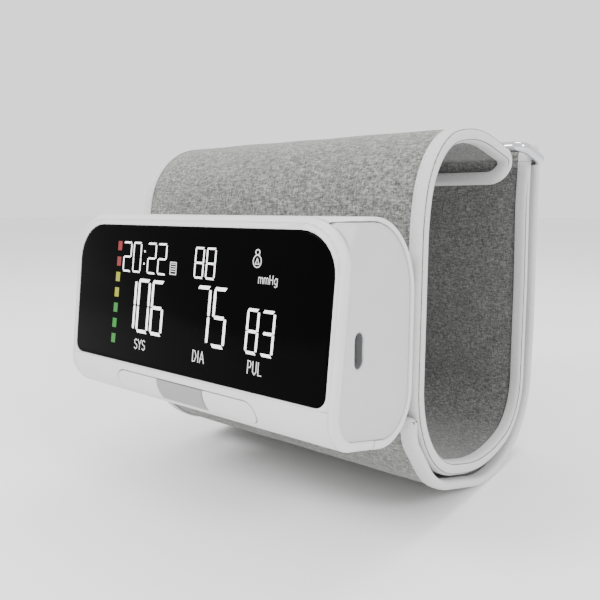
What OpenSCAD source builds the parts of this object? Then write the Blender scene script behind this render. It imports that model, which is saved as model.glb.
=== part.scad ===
// Upper arm blood pressure monitor: a monitor on a closed-loop cuff.
// Millimetres. +Z is up, +X is along the arm, the display faces -Y.
// The origin is the centre of the bottom of the whole object's bounding box.

/* [Monitor] */
// Width of the monitor
body_w = 116.2; // [112:0.2:120]
// Height of the top of the monitor above the lens's lower edge
body_top = 48.4; // [47:0.1:50]
// Depth of the monitor at its back
body_depth = 42.3; // [42:0.1:42.3]
// Angle by which the display leans back
lean = 7.1; // [5:0.1:8]
// Thickness of the housing's walls
wall = 2.4; // [2:0.1:2.6]
// Depth of the end panels below the rim
end_recess = 1.2; // [0.6:0.1:1.6]
// Width of the display lens
lens_w = 110; // [104:0.5:110]
// Height of the display lens, along its slope
lens_h = 45.3; // [44:0.1:45.5]
// Corner radius at the top of the lens
lens_top_r = 12; // [8:0.5:14]
// Corner radius at the bottom of the lens
lens_bottom_r = 3.5; // [2:0.5:6]

/* [Keys] */
// Length of the strip of keys
keys_w = 62; // [56:1:66]
// Length of the middle key
start_key_w = 20.6; // [16:0.2:24]
// Height of the strip of keys, across its face
keys_h = 7.6; // [7:0.1:7.8]
// How far a key goes in
key_travel = 0.5; // [0.3:0.1:0.5]

/* [Cuff] */
// Width of the cuff along the arm
cuff_w = 128.5; // [124:0.5:129]
// Thickness of the padded cuff
cuff_t = 4.2; // [4:0.1:4.4]
// Thickness of the strap
strap_t = 2.6; // [2.4:0.1:2.8]
// Width of the edge binding
binding_w = 4.4; // [3.5:0.1:6]
// Thickness of the edge binding
binding_t = 0.4; // [0.3:0.05:0.5]
// Corner radius of the inner flap
flap_r = 8.5; // [6:0.5:9]

/* [Ring] */
// Diameter of the ring's wire
wire_d = 4; // [3.4:0.1:4]
// Free space between the ring and the strap's edges
ring_gap = 0.4; // [0.3:0.1:0.8]

/* [Hidden] */

eps = 0.05;                 // gap between pieces that rest on each other
arc_steps = 10;             // straight steps in each rounded corner of an outline
monitor_at = [4.8, -76, 56.3];   // the middle of the lens's lower edge
half_w = body_w / 2;
panel_out = half_w - end_recess; // outer face of an end panel
panel_t = 2;
panel_in = panel_out - panel_t;
parting_y = 19.5;           // plane where the two shells meet
lens_t = 1.5;
lens_sink = 0.2;

// Side outline of the housing as [y, z, corner radius].
side_outline = [
    [body_top * tan(lean), body_top, 2.5],
    [body_depth, body_top, 24],
    [body_depth, -22, 15],
    [-1.4, -11, 11.5]
];
// The rounded front-bottom edge, where the keys sit, and the tilt of their faces.
key_arc = corner_centre(side_outline[2], side_outline[3], side_outline[0]);
key_arc_r = side_outline[3][2];
key_tilt = 23;
key_gap = 0.25;

// Middle line of the cuff as [y, z, corner radius]: inner flap, top, front, bottom, back.
cuff_line = [
    [37, 116, 0], [37.5, 126, 4.5], [6, 132, 70], [-26.5, 126.5, 26], [-31, 102, 60],
    [-31, 41, 36], [-16.2, 20.4, 40], [25.5, 7.8, 80], [64.4, 16.4, 22], [62, 76, 80],
    [59, 110, 80], [59, 125.2, 0]
];
// Middle line of the strap: over the ring, down the back, under the loop, up to its end.
strap_line = [
    [59, 125.3, 0], [59, 131.5, 5.5], [70, 131.5, 5.5], [72, 92, 120], [74.75, 56, 120], [74, 15, 28],
    [45, 1.7, 50], [24, 1.7, 50], [-17.5, 15, 36], [-34.2, 36, 12], [-34.3, 43, 0]
];
half_cuff = cuff_w / 2;
band_half = cuff_t / 2;
strap_half = strap_t / 2;

// Layers of the cuff, as distances from its middle line towards the outside.
outer_fabric = [1.35, band_half];
former_layer = [0.45, 1.25];
bladder_layer = [-1.2, 0.35];
lining_layer = [-band_half, -1.3];

ring_front = [42, 129.8];   // hinge line, through the ring's front bar
ring_rear = [64.5, 125.9];
wire_r = wire_d / 2;
ring_depth = norm(ring_rear - ring_front);
ring_tilt = atan2(ring_rear[1] - ring_front[1], ring_rear[0] - ring_front[0]);
ring_bar_x = half_cuff + binding_t + ring_gap + wire_r;
ring_bend_r = 4;

white = [0.93, 0.93, 0.94];
pale_grey = [0.84, 0.84, 0.85];
key_grey = [0.66, 0.66, 0.67];
black = [0.02, 0.02, 0.025];
melange = [0.60, 0.60, 0.58];
tape_grey = [0.80, 0.80, 0.81];
chrome = [0.85, 0.86, 0.88];
board_green = [0.05, 0.30, 0.15];
dark_plastic = [0.12, 0.12, 0.13];
steel = [0.70, 0.71, 0.73];

// ---- Outlines made of straight stretches joined by arcs ----

// Points of the arc that rounds corner b of the path a, b, c with radius r.
function corner_arc(a, b, c, r, steps) =
    let (u = (a - b) / norm(a - b),
         v = (c - b) / norm(c - b),
         half = acos(u * v) / 2,
         middle = b + (u + v) / norm(u + v) * r / sin(half),
         first = b + u * r / tan(half) - middle,
         last = b + v * r / tan(half) - middle,
         start = atan2(first[1], first[0]),
         turn = atan2(last[1], last[0]) - start,
         sweep = turn > 180 ? turn - 360 : turn < -180 ? turn + 360 : turn)
    [for (i = [0:steps]) middle + r * [cos(start + sweep * i / steps), sin(start + sweep * i / steps)]];

function flat_point(p) = [p[0], p[1]];

function unit(v) = v / norm(v);

// Centre of the arc that rounds corner b, given as [y, z, radius], between corners a and c.
function corner_centre(a, b, c) =
    let (u = unit(flat_point(a) - flat_point(b)),
         v = unit(flat_point(c) - flat_point(b)),
         half = acos(u * v) / 2)
    flat_point(b) + b[2] / sin(half) * unit(u + v);

// A closed outline with each corner rounded.
function closed_outline(corners, steps = arc_steps) =
    let (n = len(corners))
    [for (i = [0:n - 1])
        each corner_arc(flat_point(corners[(i + n - 1) % n]), flat_point(corners[i]),
                        flat_point(corners[(i + 1) % n]), corners[i][2], steps)];

// An open line with each inner corner rounded.
function open_line(corners, steps = arc_steps) =
    let (n = len(corners))
    concat(
        [flat_point(corners[0])],
        [for (i = [1:n - 2])
            each corner_arc(flat_point(corners[i - 1]), flat_point(corners[i]),
                            flat_point(corners[i + 1]), corners[i][2], steps)],
        [flat_point(corners[n - 1])]
    );

// The same line moved sideways by d, towards its left hand.
function beside(line, d) =
    let (n = len(line))
    [for (i = [0:n - 1])
        let (along = line[min(i + 1, n - 1)] - line[max(i - 1, 0)],
             side = [-along[1], along[0]] / norm(along))
        line[i] - d * side];

function backwards(points) = [for (i = [len(points) - 1:-1:0]) points[i]];

// Extrudes a [y, z] outline along X, from x0 to x1.
module along_x(x0, x1) {
    translate([x0, 0, 0])
        rotate([90, 0, 90])
            linear_extrude(x1 - x0)
                children();
}

module at_monitor() {
    translate(monitor_at)
        children();
}

// Local frame on the display: x across, y up the slope, z out of the face.
module on_face() {
    rotate([90 - lean, 0, 0])
        children();
}

// Local frame of the keys: z points out of the rounded edge, through the strip's middle.
module on_keys() {
    translate([0, key_arc[0], key_arc[1]])
        rotate([90 + key_tilt, 0, 0])
            children();
}

module box(low, high) {
    translate(low)
        cube(high - low);
}

// A round bar or hole between two points on one axis direction.
module rod_x(r, x0, x1, y, z) {
    translate([x0, y, z])
        rotate([0, 90, 0])
            cylinder(r = r, h = x1 - x0, $fn = 40);
}

module rod_y(r, y0, y1, x, z) {
    translate([x, y0, z])
        rotate([-90, 0, 0])
            cylinder(r = r, h = y1 - y0, $fn = 40);
}

module rod_z(r, z0, z1, x, y) {
    translate([x, y, z0])
        cylinder(r = r, h = z1 - z0, $fn = 40);
}

// ---- Housing ----

module housing_outline(inset = 0) {
    offset(delta = -inset)
        polygon(closed_outline(side_outline));
}

module lens_outline(grow = 0) {
    polygon(closed_outline([
        [-lens_w / 2 - grow, -grow, lens_bottom_r + grow],
        [lens_w / 2 + grow, -grow, lens_bottom_r + grow],
        [lens_w / 2 + grow, lens_h + grow, lens_top_r + grow],
        [-lens_w / 2 - grow, lens_h + grow, lens_top_r + grow]
    ]));
}

// Large rounding of the bezel's two top corners, as wide blocks to cut away.
module bezel_corner_cuts() {
    corner_r = 14;
    plate_t = 3;
    top = body_top / cos(lean);
    on_face()
        for (side = [-1, 1])
            translate([0, 0, -plate_t])
                linear_extrude(plate_t + 3)
                    difference() {
                        translate([side * half_w - corner_r, top - corner_r])
                            square(2 * corner_r);
                        translate([side * (half_w - corner_r), top - corner_r])
                            circle(corner_r, $fn = 64);
                        translate([side < 0 ? corner_r - half_w : -1, 0])
                            square([half_w + 1 - corner_r, 2 * top]);
                    }
}

ledge_back = -5.2;           // back of the ledge, below the display's face
ledge_low = 0.3;             // its lower edge, clear of a pressed key's flange
boss_x = 49.8;
boss_z = [-2, 30];
boss_r = 2.9;
boss_end = 33;
screw_r = 1.3;
stud_x = 30;
stud_z = [4, 26];
stud_r = 3;
nozzle_at = [12, 8];
nozzle_r = 2.2;

module housing_tube() {
    difference() {
        along_x(-half_w, half_w)
            housing_outline();
        along_x(-half_w - 1, half_w + 1)
            housing_outline(wall);
    }
}

module key_opening(grow = 0) {
    on_keys()
        linear_extrude(30)
            pill(keys_w / 2 + grow, keys_h / 2 + grow);
}

// A bar with round ends, half_length by half_height.
module pill(half_length, half_height) {
    for (side = [-1, 1])
        translate([side * (half_length - half_height), 0])
            circle(half_height, $fn = 48);
    square([2 * (half_length - half_height), 2 * half_height], center = true);
}

module front_shell() {
    color(white)
        at_monitor()
            difference() {
                union() {
                    intersection() {
                        housing_tube();
                        box([-half_w - 1, -20, -30], [half_w + 1, parting_y, 60]);
                    }
                    // Ledge behind the lens and the bezel, cut open for the display below.
                    intersection() {
                        along_x(-panel_out, panel_out)
                            housing_outline();
                        on_face()
                            box([-half_w, ledge_low, ledge_back], [half_w, 60, -0.5]);
                    }
                    intersection() {
                        along_x(-half_w, half_w)
                            housing_outline(0.5);
                        for (x = [-boss_x, boss_x], z = boss_z)
                            rod_y(boss_r, 1, boss_end, x, z);
                    }
                }
                bezel_corner_cuts();
                on_face() {
                    translate([0, 0, -lens_sink - lens_t - eps])
                        linear_extrude(10)
                            lens_outline(0.1);
                    box([-45.5, 2.4, -8], [45.5, 43, 1]);
                }
                key_opening(key_gap);
                for (x = [-boss_x, boss_x], z = boss_z)
                    rod_y(screw_r + eps, 22, boss_end + 1, x, z);
            }
}

module rear_shell() {
    color(white)
        at_monitor()
            difference() {
                union() {
                    intersection() {
                        housing_tube();
                        box([-half_w - 1, parting_y + eps, -30], [half_w + 1, 60, 60]);
                    }
                    // Seats for the four housing screws and the four studs of the cuff plate.
                    intersection() {
                        along_x(-half_w, half_w)
                            housing_outline(0.2);
                        union() {
                            for (x = [-boss_x, boss_x], z = boss_z)
                                rod_y(boss_r + 1, boss_end + 0.3, body_depth, x, z);
                            for (x = [-stud_x, stud_x], z = stud_z)
                                rod_y(stud_r + 1.5, 37.5, body_depth, x, z);
                        }
                    }
                }
                for (x = [-boss_x, boss_x], z = boss_z) {
                    rod_y(screw_r + 0.3, 30, 50, x, z);
                    rod_y(2.7, boss_end + 2.3, 50, x, z);
                }
                for (x = [-stud_x, stud_x], z = stud_z) {
                    rod_y(screw_r + 0.3, 30, 50, x, z);
                    rod_y(stud_r + eps, 39, 50, x, z);
                }
                rod_y(nozzle_r + 0.2, 30, 50, nozzle_at[0], nozzle_at[1]);
            }
}

usb_at = [13.5, 13.1];
slot_half_h = 5.2;
slot_half_w = 2.3;

// Outline of an end panel, inside the rim: the rim is wider at the front and back.
module end_panel_outline() {
    polygon(closed_outline([
        [body_top * tan(lean) + 2.9, body_top - wall - eps, 5],
        [body_depth - wall - eps, body_top - wall - eps, 21],
        [body_depth - wall - eps, -19, 12.4],
        [1.0, -11.6, 11.8]
    ]));
}

module end_panel(side) {
    color(pale_grey)
        at_monitor()
            difference() {
                intersection() {
                    along_x(side < 0 ? -panel_out : panel_in, side < 0 ? -panel_in : panel_out)
                        end_panel_outline();
                    along_x(-half_w, half_w)
                        housing_outline(wall + eps);
                    // Stays behind the bezel plate and its cut-away corners.
                    on_face()
                        box([-half_w, -40, -60], [half_w, 60, ledge_back - eps]);
                }
                if (side > 0)
                    along_x(panel_in - 1, half_w + 1)
                        translate(usb_at)
                            rotate(90)
                                pill(slot_half_h, slot_half_w);
            }
}

module left_end_panel() {
    end_panel(-1);
}

module right_end_panel() {
    end_panel(1);
}

module display_lens() {
    color(black)
        at_monitor()
            on_face()
                translate([0, 0, -lens_sink - lens_t])
                    linear_extrude(lens_t)
                        lens_outline();
}

// ---- Electronics ----

module display_diffuser() {
    color([0.3, 0.3, 0.32])
        at_monitor()
            on_face()
                box([-44.5, 3, -2.15], [44.5, 42.4, -1.8]);
}

module display_reflector() {
    color(dark_plastic)
        at_monitor()
            on_face()
                box([-44.5, 3, -5.6], [44.5, 42.4, -2.2]);
}

board_back = -7.3;

module main_board() {
    color(board_green)
        at_monitor()
            on_face()
                difference() {
                    box([-45, 2.8, board_back], [45, 42.6, -5.7]);
                    for (x = [-42, 42], y = [6, 39.5])
                        rod_z(1, board_back - 1, 0, x, y);
                }
}

module board_screws() {
    color(steel)
        at_monitor()
            on_face()
                for (x = [-42, 42], y = [6, 39.5]) {
                    rod_z(0.95, board_back, -5.65, x, y);
                    rod_z(1.8, board_back - 1.2, board_back, x, y);
                }
}

module processor_chip() {
    color(black)
        at_monitor()
            on_face()
                box([-16, 18, board_back - 1.6], [-4, 30, board_back - eps]);
}

sensor_port = [15, 3.5];     // x and z of the sensor's port, and of the nozzle that faces it
port_r = 2;

module pressure_sensor() {
    color(dark_plastic)
        at_monitor()
            on_face()
                box([sensor_port[0] - 4.5, 3, board_back - 4], [sensor_port[0] + 4.5, 9, board_back - eps]);
    color(dark_plastic)
        at_monitor()
            rod_y(port_r, 11, 17.4, sensor_port[0], sensor_port[1]);
}

module buzzer() {
    color(black)
        at_monitor()
            on_face()
                difference() {
                    rod_z(5, board_back - 3, board_back - eps, -30, 12);
                    rod_z(0.9, board_back - 4, board_back - 2, -30, 12);
                }
}

module battery() {
    color([0.55, 0.57, 0.60])
        at_monitor()
            box([-45, 25.5, -7], [-2, 34.5, 29]);
}

module battery_foam() {
    color([0.15, 0.15, 0.16])
        at_monitor()
            box([-24, 34.55, 0], [-6, body_depth - wall - eps, 24]);
}

module usb_socket() {
    outer = [3.3, 9];
    shell = 0.35;
    color(steel)
        at_monitor()
            translate([panel_in - 0.3, usb_at[0], usb_at[1]])
                rotate([0, -90, 0])
                    difference() {
                        linear_extrude(7.4)
                            pill(outer[1] / 2, outer[0] / 2);
                        translate([0, 0, -1])
                            linear_extrude(7)
                                pill(outer[1] / 2 - shell, outer[0] / 2 - shell);
                    }
}

module usb_board() {
    color(board_green)
        at_monitor()
            box([40, usb_at[0] + 1.75, 5], [panel_in - 0.5, usb_at[0] + 2.95, 22]);
}

key_board_at = key_arc_r - 8.2;   // front of the key board, out from the edge's centre
switch_h = 2.1;              // height of a switch with its button

module key_board() {
    color(board_green)
        at_monitor()
            on_keys()
                box([-27, -4, key_board_at - 1.2], [27, 4, key_board_at]);
}

key_x = [-19.4, 0, 19.4];

module key_switches() {
    color(dark_plastic)
        at_monitor()
            on_keys()
                for (x = key_x)
                    translate([x, 0, 0]) {
                        box([-3, -2.2, key_board_at + eps], [3, 2.2, key_board_at + switch_h - 0.5]);
                        rod_z(1, key_board_at + switch_h - 0.5, key_board_at + switch_h, 0, 0);
                    }
}

// One key, between x0 and x1 of the strip. Its cap follows the housing's rounded edge, its
// flange stays behind the wall and its post ends just above its switch.
module key_cap(x0, x1, post_x) {
    at_monitor() {
        intersection() {
            along_x(x0, x1)
                difference() {
                    housing_outline(0.1);
                    housing_outline(wall + 0.9);
                }
            on_keys()
                linear_extrude(30)
                    pill(keys_w / 2, keys_h / 2);
        }
        intersection() {
            along_x(x0, x1)
                difference() {
                    housing_outline(wall + 0.15);
                    housing_outline(wall + 1.1);
                }
            on_keys()
                linear_extrude(30)
                    pill(keys_w / 2 - 0.2, keys_h / 2 + 0.7);
        }
        on_keys()
            rod_z(1.4, key_board_at + switch_h + 0.1 + key_travel, key_arc_r - wall - 0.9, post_x, 0);
    }
}

module key_left() {
    color(white)
        key_cap(-keys_w / 2, -start_key_w / 2 - 0.1, key_x[0]);
}

module key_start() {
    color(key_grey)
        key_cap(-start_key_w / 2 + 0.1, start_key_w / 2 - 0.1, key_x[1]);
}

module key_right() {
    color(white)
        key_cap(start_key_w / 2 + 0.1, keys_w / 2, key_x[2]);
}

// ---- Air system ----

motor = [26, 19];            // y and z of the pump's axis
motor_r = 9;
motor_x = [4, 25];
head_x = [25.3, 41];

module pump_motor_can() {
    color(steel)
        at_monitor()
            difference() {
                rod_x(motor_r, motor_x[0], motor_x[1], motor[0], motor[1]);
                rod_x(motor_r - 1, motor_x[0] + 1.5, motor_x[1] - 1.5, motor[0], motor[1]);
                rod_x(1.05, motor_x[1] - 2, motor_x[1] + 1, motor[0], motor[1]);
            }
}

// Armature, shaft and the eccentric that works the membrane.
module pump_rotor() {
    color([0.72, 0.45, 0.20])
        at_monitor() {
            rod_x(6, motor_x[0] + 3, motor_x[1] - 4, motor[0], motor[1]);
            rod_x(1, motor_x[0] + 2, head_x[0] + 5.5, motor[0], motor[1]);
            rod_x(2.5, head_x[0] + 2, head_x[0] + 5.5, motor[0] + 1.2, motor[1]);
        }
}

module pump_head() {
    half = 8.5;
    color([0.88, 0.88, 0.86])
        at_monitor()
            difference() {
                union() {
                    box([head_x[0], motor[0] - half, motor[1] - half],
                        [head_x[1], motor[0] + half, motor[1] + half]);
                    rod_z(port_r, motor[1] - half - 3.4, motor[1] - half, 36, motor[0]);
                }
                rod_x(6, head_x[0] + 1.4, head_x[0] + 7, motor[0], motor[1]);
                rod_x(1.3, head_x[0] - 1, head_x[0] + 3, motor[0], motor[1]);
                rod_x(6.5, head_x[0] + 9, head_x[1] - 2, motor[0], motor[1]);
                rod_z(1, motor[1] - half - 5, motor[1] - 4, 36, motor[0]);
            }
}

module pump_membrane() {
    color([0.20, 0.20, 0.22])
        at_monitor()
            difference() {
                rod_x(6.4, head_x[0] + 9.1, head_x[0] + 10.3, motor[0], motor[1]);
                rod_x(3.5, head_x[0] + 9.9, head_x[0] + 11, motor[0], motor[1]);
            }
}

manifold_z = 2;              // height of the manifold's middle

module air_manifold() {
    color([0.90, 0.90, 0.88])
        at_monitor()
            difference() {
                union() {
                    box([10, motor[0] - 4, manifold_z - 3.5], [40, motor[0] + 4, manifold_z + 3.5]);
                    rod_z(port_r, manifold_z + 3.5, manifold_z + 4.9, 36, motor[0]);
                    rod_y(port_r, motor[0] - 8, motor[0] - 4, sensor_port[0], sensor_port[1]);
                    rod_y(nozzle_r, motor[0] + 4, motor[0] + 6, nozzle_at[0] + 3, manifold_z);
                }
                rod_x(1.2, 12, 38, motor[0], manifold_z);
                rod_z(1, manifold_z, manifold_z + 7, 36, motor[0]);
                rod_y(1, motor[0] - 9, motor[0], sensor_port[0], sensor_port[1] - 0.8);
                rod_y(1, motor[0], motor[0] + 7, nozzle_at[0] + 3, manifold_z);
            }
}

// Short rubber sleeves on the manifold: to the pump, the pressure sensor and the cuff's nozzle.
module air_tubes() {
    color([0.25, 0.25, 0.27])
        at_monitor() {
            difference() {
                rod_z(3, manifold_z + 3.6, motor[1] - 8.6, 36, motor[0]);
                rod_z(port_r + 0.02, manifold_z + 3, motor[1] - 8, 36, motor[0]);
            }
            difference() {
                rod_y(3, 14, motor[0] - 4.1, sensor_port[0], sensor_port[1]);
                rod_y(port_r + 0.02, 13, motor[0] - 4, sensor_port[0], sensor_port[1]);
            }
            difference() {
                rod_y(3.1, motor[0] + 4.1, motor[0] + 9, nozzle_at[0] + 3, manifold_z);
                rod_y(nozzle_r + 0.02, motor[0] + 4, motor[0] + 10, nozzle_at[0] + 3, manifold_z);
            }
        }
}

// Runs from the sleeve through the rear shell and the cuff's outer fabric to the bladder.
module cuff_nozzle() {
    color([0.90, 0.90, 0.88])
        at_monitor()
            difference() {
                union() {
                    rod_y(nozzle_r, motor[0] + 6.1, motor[0] + 10, nozzle_at[0] + 3, manifold_z);
                    box([nozzle_at[0] - 2, motor[0] + 10, manifold_z - 2.2],
                        [nozzle_at[0] + 5.2, motor[0] + 12, nozzle_at[1] + 2.2]);
                    rod_y(nozzle_r, motor[0] + 12, body_depth + 2, nozzle_at[0], nozzle_at[1]);
                }
                rod_y(1, motor[0] + 6, motor[0] + 11, nozzle_at[0] + 3, manifold_z);
                rod_y(1, motor[0] + 11, body_depth + 3, nozzle_at[0], nozzle_at[1]);
                rod_z(0.9, manifold_z, nozzle_at[1], nozzle_at[0] + 1, motor[0] + 11);
            }
}

valve = [48, 26];            // x and y of the valve's axis
valve_z = [8, 24];
plunger_travel = 0.8;

module valve_body() {
    color([0.25, 0.26, 0.28])
        at_monitor()
            difference() {
                box([valve[0] - 5, valve[1] - 5, valve_z[0]], [valve[0] + 5, valve[1] + 5, valve_z[1]]);
                rod_z(2.05, valve_z[0] + 1.5, valve_z[1] + 1, valve[0], valve[1]);
                rod_z(3.2, valve_z[1] - 4.5, valve_z[1] + 1, valve[0], valve[1]);
            }
}

module valve_plunger() {
    color(steel)
        at_monitor() {
            rod_z(2, valve_z[0] + 1.6 + plunger_travel, valve_z[1] - 2, valve[0], valve[1]);
            rod_z(1, valve_z[1] - 2, valve_z[1] + 1, valve[0], valve[1]);
            rod_z(3.8, valve_z[1] + 1, valve_z[1] + 1.8, valve[0], valve[1]);
        }
}

// Spring under the plunger's cap, drawn as the tube that its coils fill.
module valve_spring() {
    color(steel)
        at_monitor()
            difference() {
                rod_z(3, valve_z[1] - 4.4, valve_z[1] + 0.95, valve[0], valve[1]);
                rod_z(2.15, valve_z[1] - 5, valve_z[1] + 2, valve[0], valve[1]);
            }
}

// ---- Fasteners ----

module housing_screws() {
    color(steel)
        at_monitor()
            for (x = [-boss_x, boss_x], z = boss_z) {
                rod_y(screw_r, 24, boss_end + 2.35, x, z);
                rod_y(2.5, boss_end + 2.35, boss_end + 4.2, x, z);
            }
}

plate_y = -monitor_at[1] - 31;   // the cuff's middle line at the front, in the monitor's frame

module plate_screws() {
    color(steel)
        at_monitor()
            for (x = [-stud_x, stud_x], z = stud_z) {
                rod_y(screw_r, 37.4, 43.4, x, z);
                rod_y(2.5, 35.6, 37.4, x, z);
            }
}

// Plate inside the cuff; its studs pass through the outer fabric into the rear shell.
module cuff_plate() {
    color([0.30, 0.30, 0.32])
        at_monitor()
            difference() {
                union() {
                    box([-42, plate_y - former_layer[1], 1], [42, plate_y - former_layer[0], 41]);
                    for (x = [-stud_x, stud_x], z = stud_z)
                        rod_y(stud_r, 39.1, plate_y - former_layer[0] - 0.2, x, z);
                }
                for (x = [-stud_x, stud_x], z = stud_z)
                    rod_y(screw_r + eps, 35, 43.5, x, z);
                rod_y(nozzle_r + 0.2, 35, 50, nozzle_at[0], nozzle_at[1]);
            }
}

// ---- Cuff ----

// Shortens the first stretch of a line by d.
function trim_start(corners, d) =
    let (a = flat_point(corners[0]),
         b = flat_point(corners[1]),
         p = a + d * (b - a) / norm(b - a))
    [for (i = [0:len(corners) - 1]) i == 0 ? [p[0], p[1], 0] : corners[i]];

function trim_end(corners, d) = backwards(trim_start(backwards(corners), d));

// A layer of a band: the space between two distances from its middle line.
module band_layer(corners, inner, outer, half_width) {
    middle = open_line(corners);
    along_x(-half_width, half_width)
        polygon(concat(beside(middle, inner), backwards(beside(middle, outer))));
}

// Cuts the two corners of the inner flap round, inset by d from the flap's outline.
module flap_corner_cuts(d, half_width, start_z) {
    r = flap_r - d;
    for (side = [-1, 1])
        translate([side * (half_width - r + eps), 33, start_z + r])
            rotate([-90, 0, 0])
                linear_extrude(10)
                    difference() {
                        translate([side > 0 ? 0 : -r - 1, 0])
                            square([r + 1, r + 1]);
                        circle(r, $fn = 48);
                    }
}

flap_z = cuff_line[0][1];

// Layer of the cuff whose edges lie d inside the outline.
// One layer of the cuff, smaller than the whole by d all round. At the end next to the ring
// it may be shorter or longer, by end_trim.
module cuff_layer(layer, d, end_trim) {
    difference() {
        band_layer(trim_end(trim_start(cuff_line, d), end_trim), layer[0], layer[1], half_cuff - d);
        flap_corner_cuts(d, half_cuff - d, flap_z + d);
    }
}

module nozzle_and_stud_holes(extra) {
    at_monitor() {
        for (x = [-stud_x, stud_x], z = stud_z)
            rod_y(stud_r + extra, 40, plate_y, x, z);
        rod_y(nozzle_r + extra, 40, plate_y + 0.4, nozzle_at[0], nozzle_at[1]);
    }
}

module cuff_outer_fabric() {
    color(melange)
        difference() {
            cuff_layer(outer_fabric, eps, eps);
            nozzle_and_stud_holes(0.1);
        }
}

module curl_former() {
    color([0.75, 0.75, 0.72])
        difference() {
            cuff_layer(former_layer, 6, 6);
            at_monitor()
                box([-42.5, 40, 0.5], [42.5, 50, 41.5]);
        }
}

// The bladder starts behind the curl of the inner flap.
bladder_line = [
    0.6 * cuff_line[1] + 0.4 * cuff_line[2],
    for (i = [2:len(cuff_line) - 1]) cuff_line[i]
];

module air_bladder() {
    color([0.18, 0.18, 0.20])
        difference() {
            band_layer(trim_end(bladder_line, 9), bladder_layer[0], bladder_layer[1], half_cuff - 9);
            at_monitor()
                rod_y(nozzle_r + 0.2, 40, plate_y + 0.2, nozzle_at[0], nozzle_at[1]);
        }
}

module cuff_lining() {
    color(melange)
        cuff_layer(lining_layer, eps, eps);
}

// Tape folded over an edge: a channel round the cloth, open towards the middle of the band.
module cuff_binding() {
    full = band_half + binding_t;
    color(tape_grey)
        difference() {
            band_layer(trim_start(cuff_line, -binding_t), -full, full, half_cuff + binding_t);
            flap_corner_cuts(-binding_t, half_cuff + binding_t, flap_z - binding_t);
            cuff_layer([-band_half - eps, band_half + eps], 0, -2);
            cuff_layer([-full - 1, full + 1], binding_w, -2);
        }
}

// ---- Strap ----

module strap_layer(layer, d) {
    band_layer(trim_end(strap_line, d), layer[0], layer[1], half_cuff - d);
}

// Space inside the strap's binding, open at the end next to the ring.
module strap_hollow(layer, d) {
    band_layer(trim_end(trim_start(strap_line, -2), d), layer[0], layer[1], half_cuff - d);
}

hook_t = 0.5;                // thickness of the hook tape

module strap_outer_fabric() {
    color(melange)
        strap_layer([-strap_half, -eps], eps);
}

module strap_lining() {
    color(melange)
        difference() {
            strap_layer([eps, strap_half], eps);
            hook_zone(strap_half - hook_t - eps, strap_half + 1, half_cuff - 7, 4.9);
        }
}

// Last slope of the strap, which carries the hooks, on the side that faces the cuff.
hook_line = [0.5 * (strap_line[7] + strap_line[8]), strap_line[8], strap_line[9]];

module hook_zone(inner, outer, half_width, end_gap) {
    band_layer(trim_end(hook_line, end_gap), inner, outer, half_width);
}

module hook_patch() {
    color([0.45, 0.45, 0.46])
        hook_zone(strap_half - hook_t, strap_half, half_cuff - 7.1, 5);
}

module strap_binding() {
    full = strap_half + binding_t;
    color(tape_grey)
        difference() {
            band_layer(trim_end(strap_line, -binding_t), -full, full, half_cuff + binding_t);
            strap_hollow([-strap_half - eps, strap_half + eps], 0);
            strap_hollow([-full - 1, full + 1], binding_w);
        }
}

// ---- Ring and tab ----

tab_w = 112;
tab_inner = wire_r + 0.3;
tab_t = 0.9;

// Loop of fabric round the ring's front bar, with a tail sewn to the top of the cuff.
module ring_tab() {
    slope = atan2(cuff_line[1][1] - cuff_line[2][1], cuff_line[1][0] - cuff_line[2][0]);
    color(melange)
        along_x(-tab_w / 2, tab_w / 2)
            difference() {
                union() {
                    translate(ring_front)
                        circle(tab_inner + tab_t, $fn = 64);
                    translate([cuff_line[1][0], cuff_line[1][1]])
                        rotate(slope)
                            translate([-17, band_half + 0.1])
                                square([18, 1.6]);
                }
                translate(ring_front)
                    circle(tab_inner, $fn = 64);
                polygon(concat(beside(open_line(cuff_line), -5),
                               backwards(beside(open_line(cuff_line), band_half + eps))));
            }
}

// Rectangular wire ring. Its front bar is the hinge line.
module ring() {
    color(chrome)
        translate([0, ring_front[0], ring_front[1]])
            rotate([ring_tilt, 0, 0]) {
                for (y = [0, ring_depth])
                    rod_x(wire_r, -ring_bar_x + ring_bend_r, ring_bar_x - ring_bend_r, y, 0);
                for (side = [-1, 1]) {
                    translate([side * ring_bar_x, ring_bend_r, 0])
                        rotate([-90, 0, 0])
                            cylinder(r = wire_r, h = ring_depth - 2 * ring_bend_r, $fn = 40);
                    for (end = [0, 1])
                        translate([side * (ring_bar_x - ring_bend_r),
                                   end * (ring_depth - 2 * ring_bend_r) + ring_bend_r, 0])
                            rotate([0, 0, ring_bend_start(side, end)])
                                rotate_extrude(angle = 90, $fn = 48)
                                    translate([ring_bend_r, 0])
                                        circle(wire_r, $fn = 40);
                }
            }
}

function ring_bend_start(side, end) =
    side > 0 ? (end > 0 ? 0 : 270) : (end > 0 ? 90 : 180);

front_shell();
rear_shell();
left_end_panel();
right_end_panel();
display_lens();
display_diffuser();
display_reflector();
main_board();
processor_chip();
pressure_sensor();
buzzer();
battery();
battery_foam();
usb_socket();
usb_board();
key_board();
key_switches();
key_left();
key_start();
key_right();
pump_motor_can();
pump_rotor();
pump_head();
pump_membrane();
valve_body();
valve_plunger();
valve_spring();
air_manifold();
air_tubes();
cuff_nozzle();
housing_screws();
board_screws();
plate_screws();
cuff_plate();
cuff_outer_fabric();
curl_former();
air_bladder();
cuff_lining();
cuff_binding();
strap_outer_fabric();
strap_lining();
strap_binding();
hook_patch();
ring_tab();
ring();
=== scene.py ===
# Upper arm blood pressure monitor: looks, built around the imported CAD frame.
import math

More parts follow.
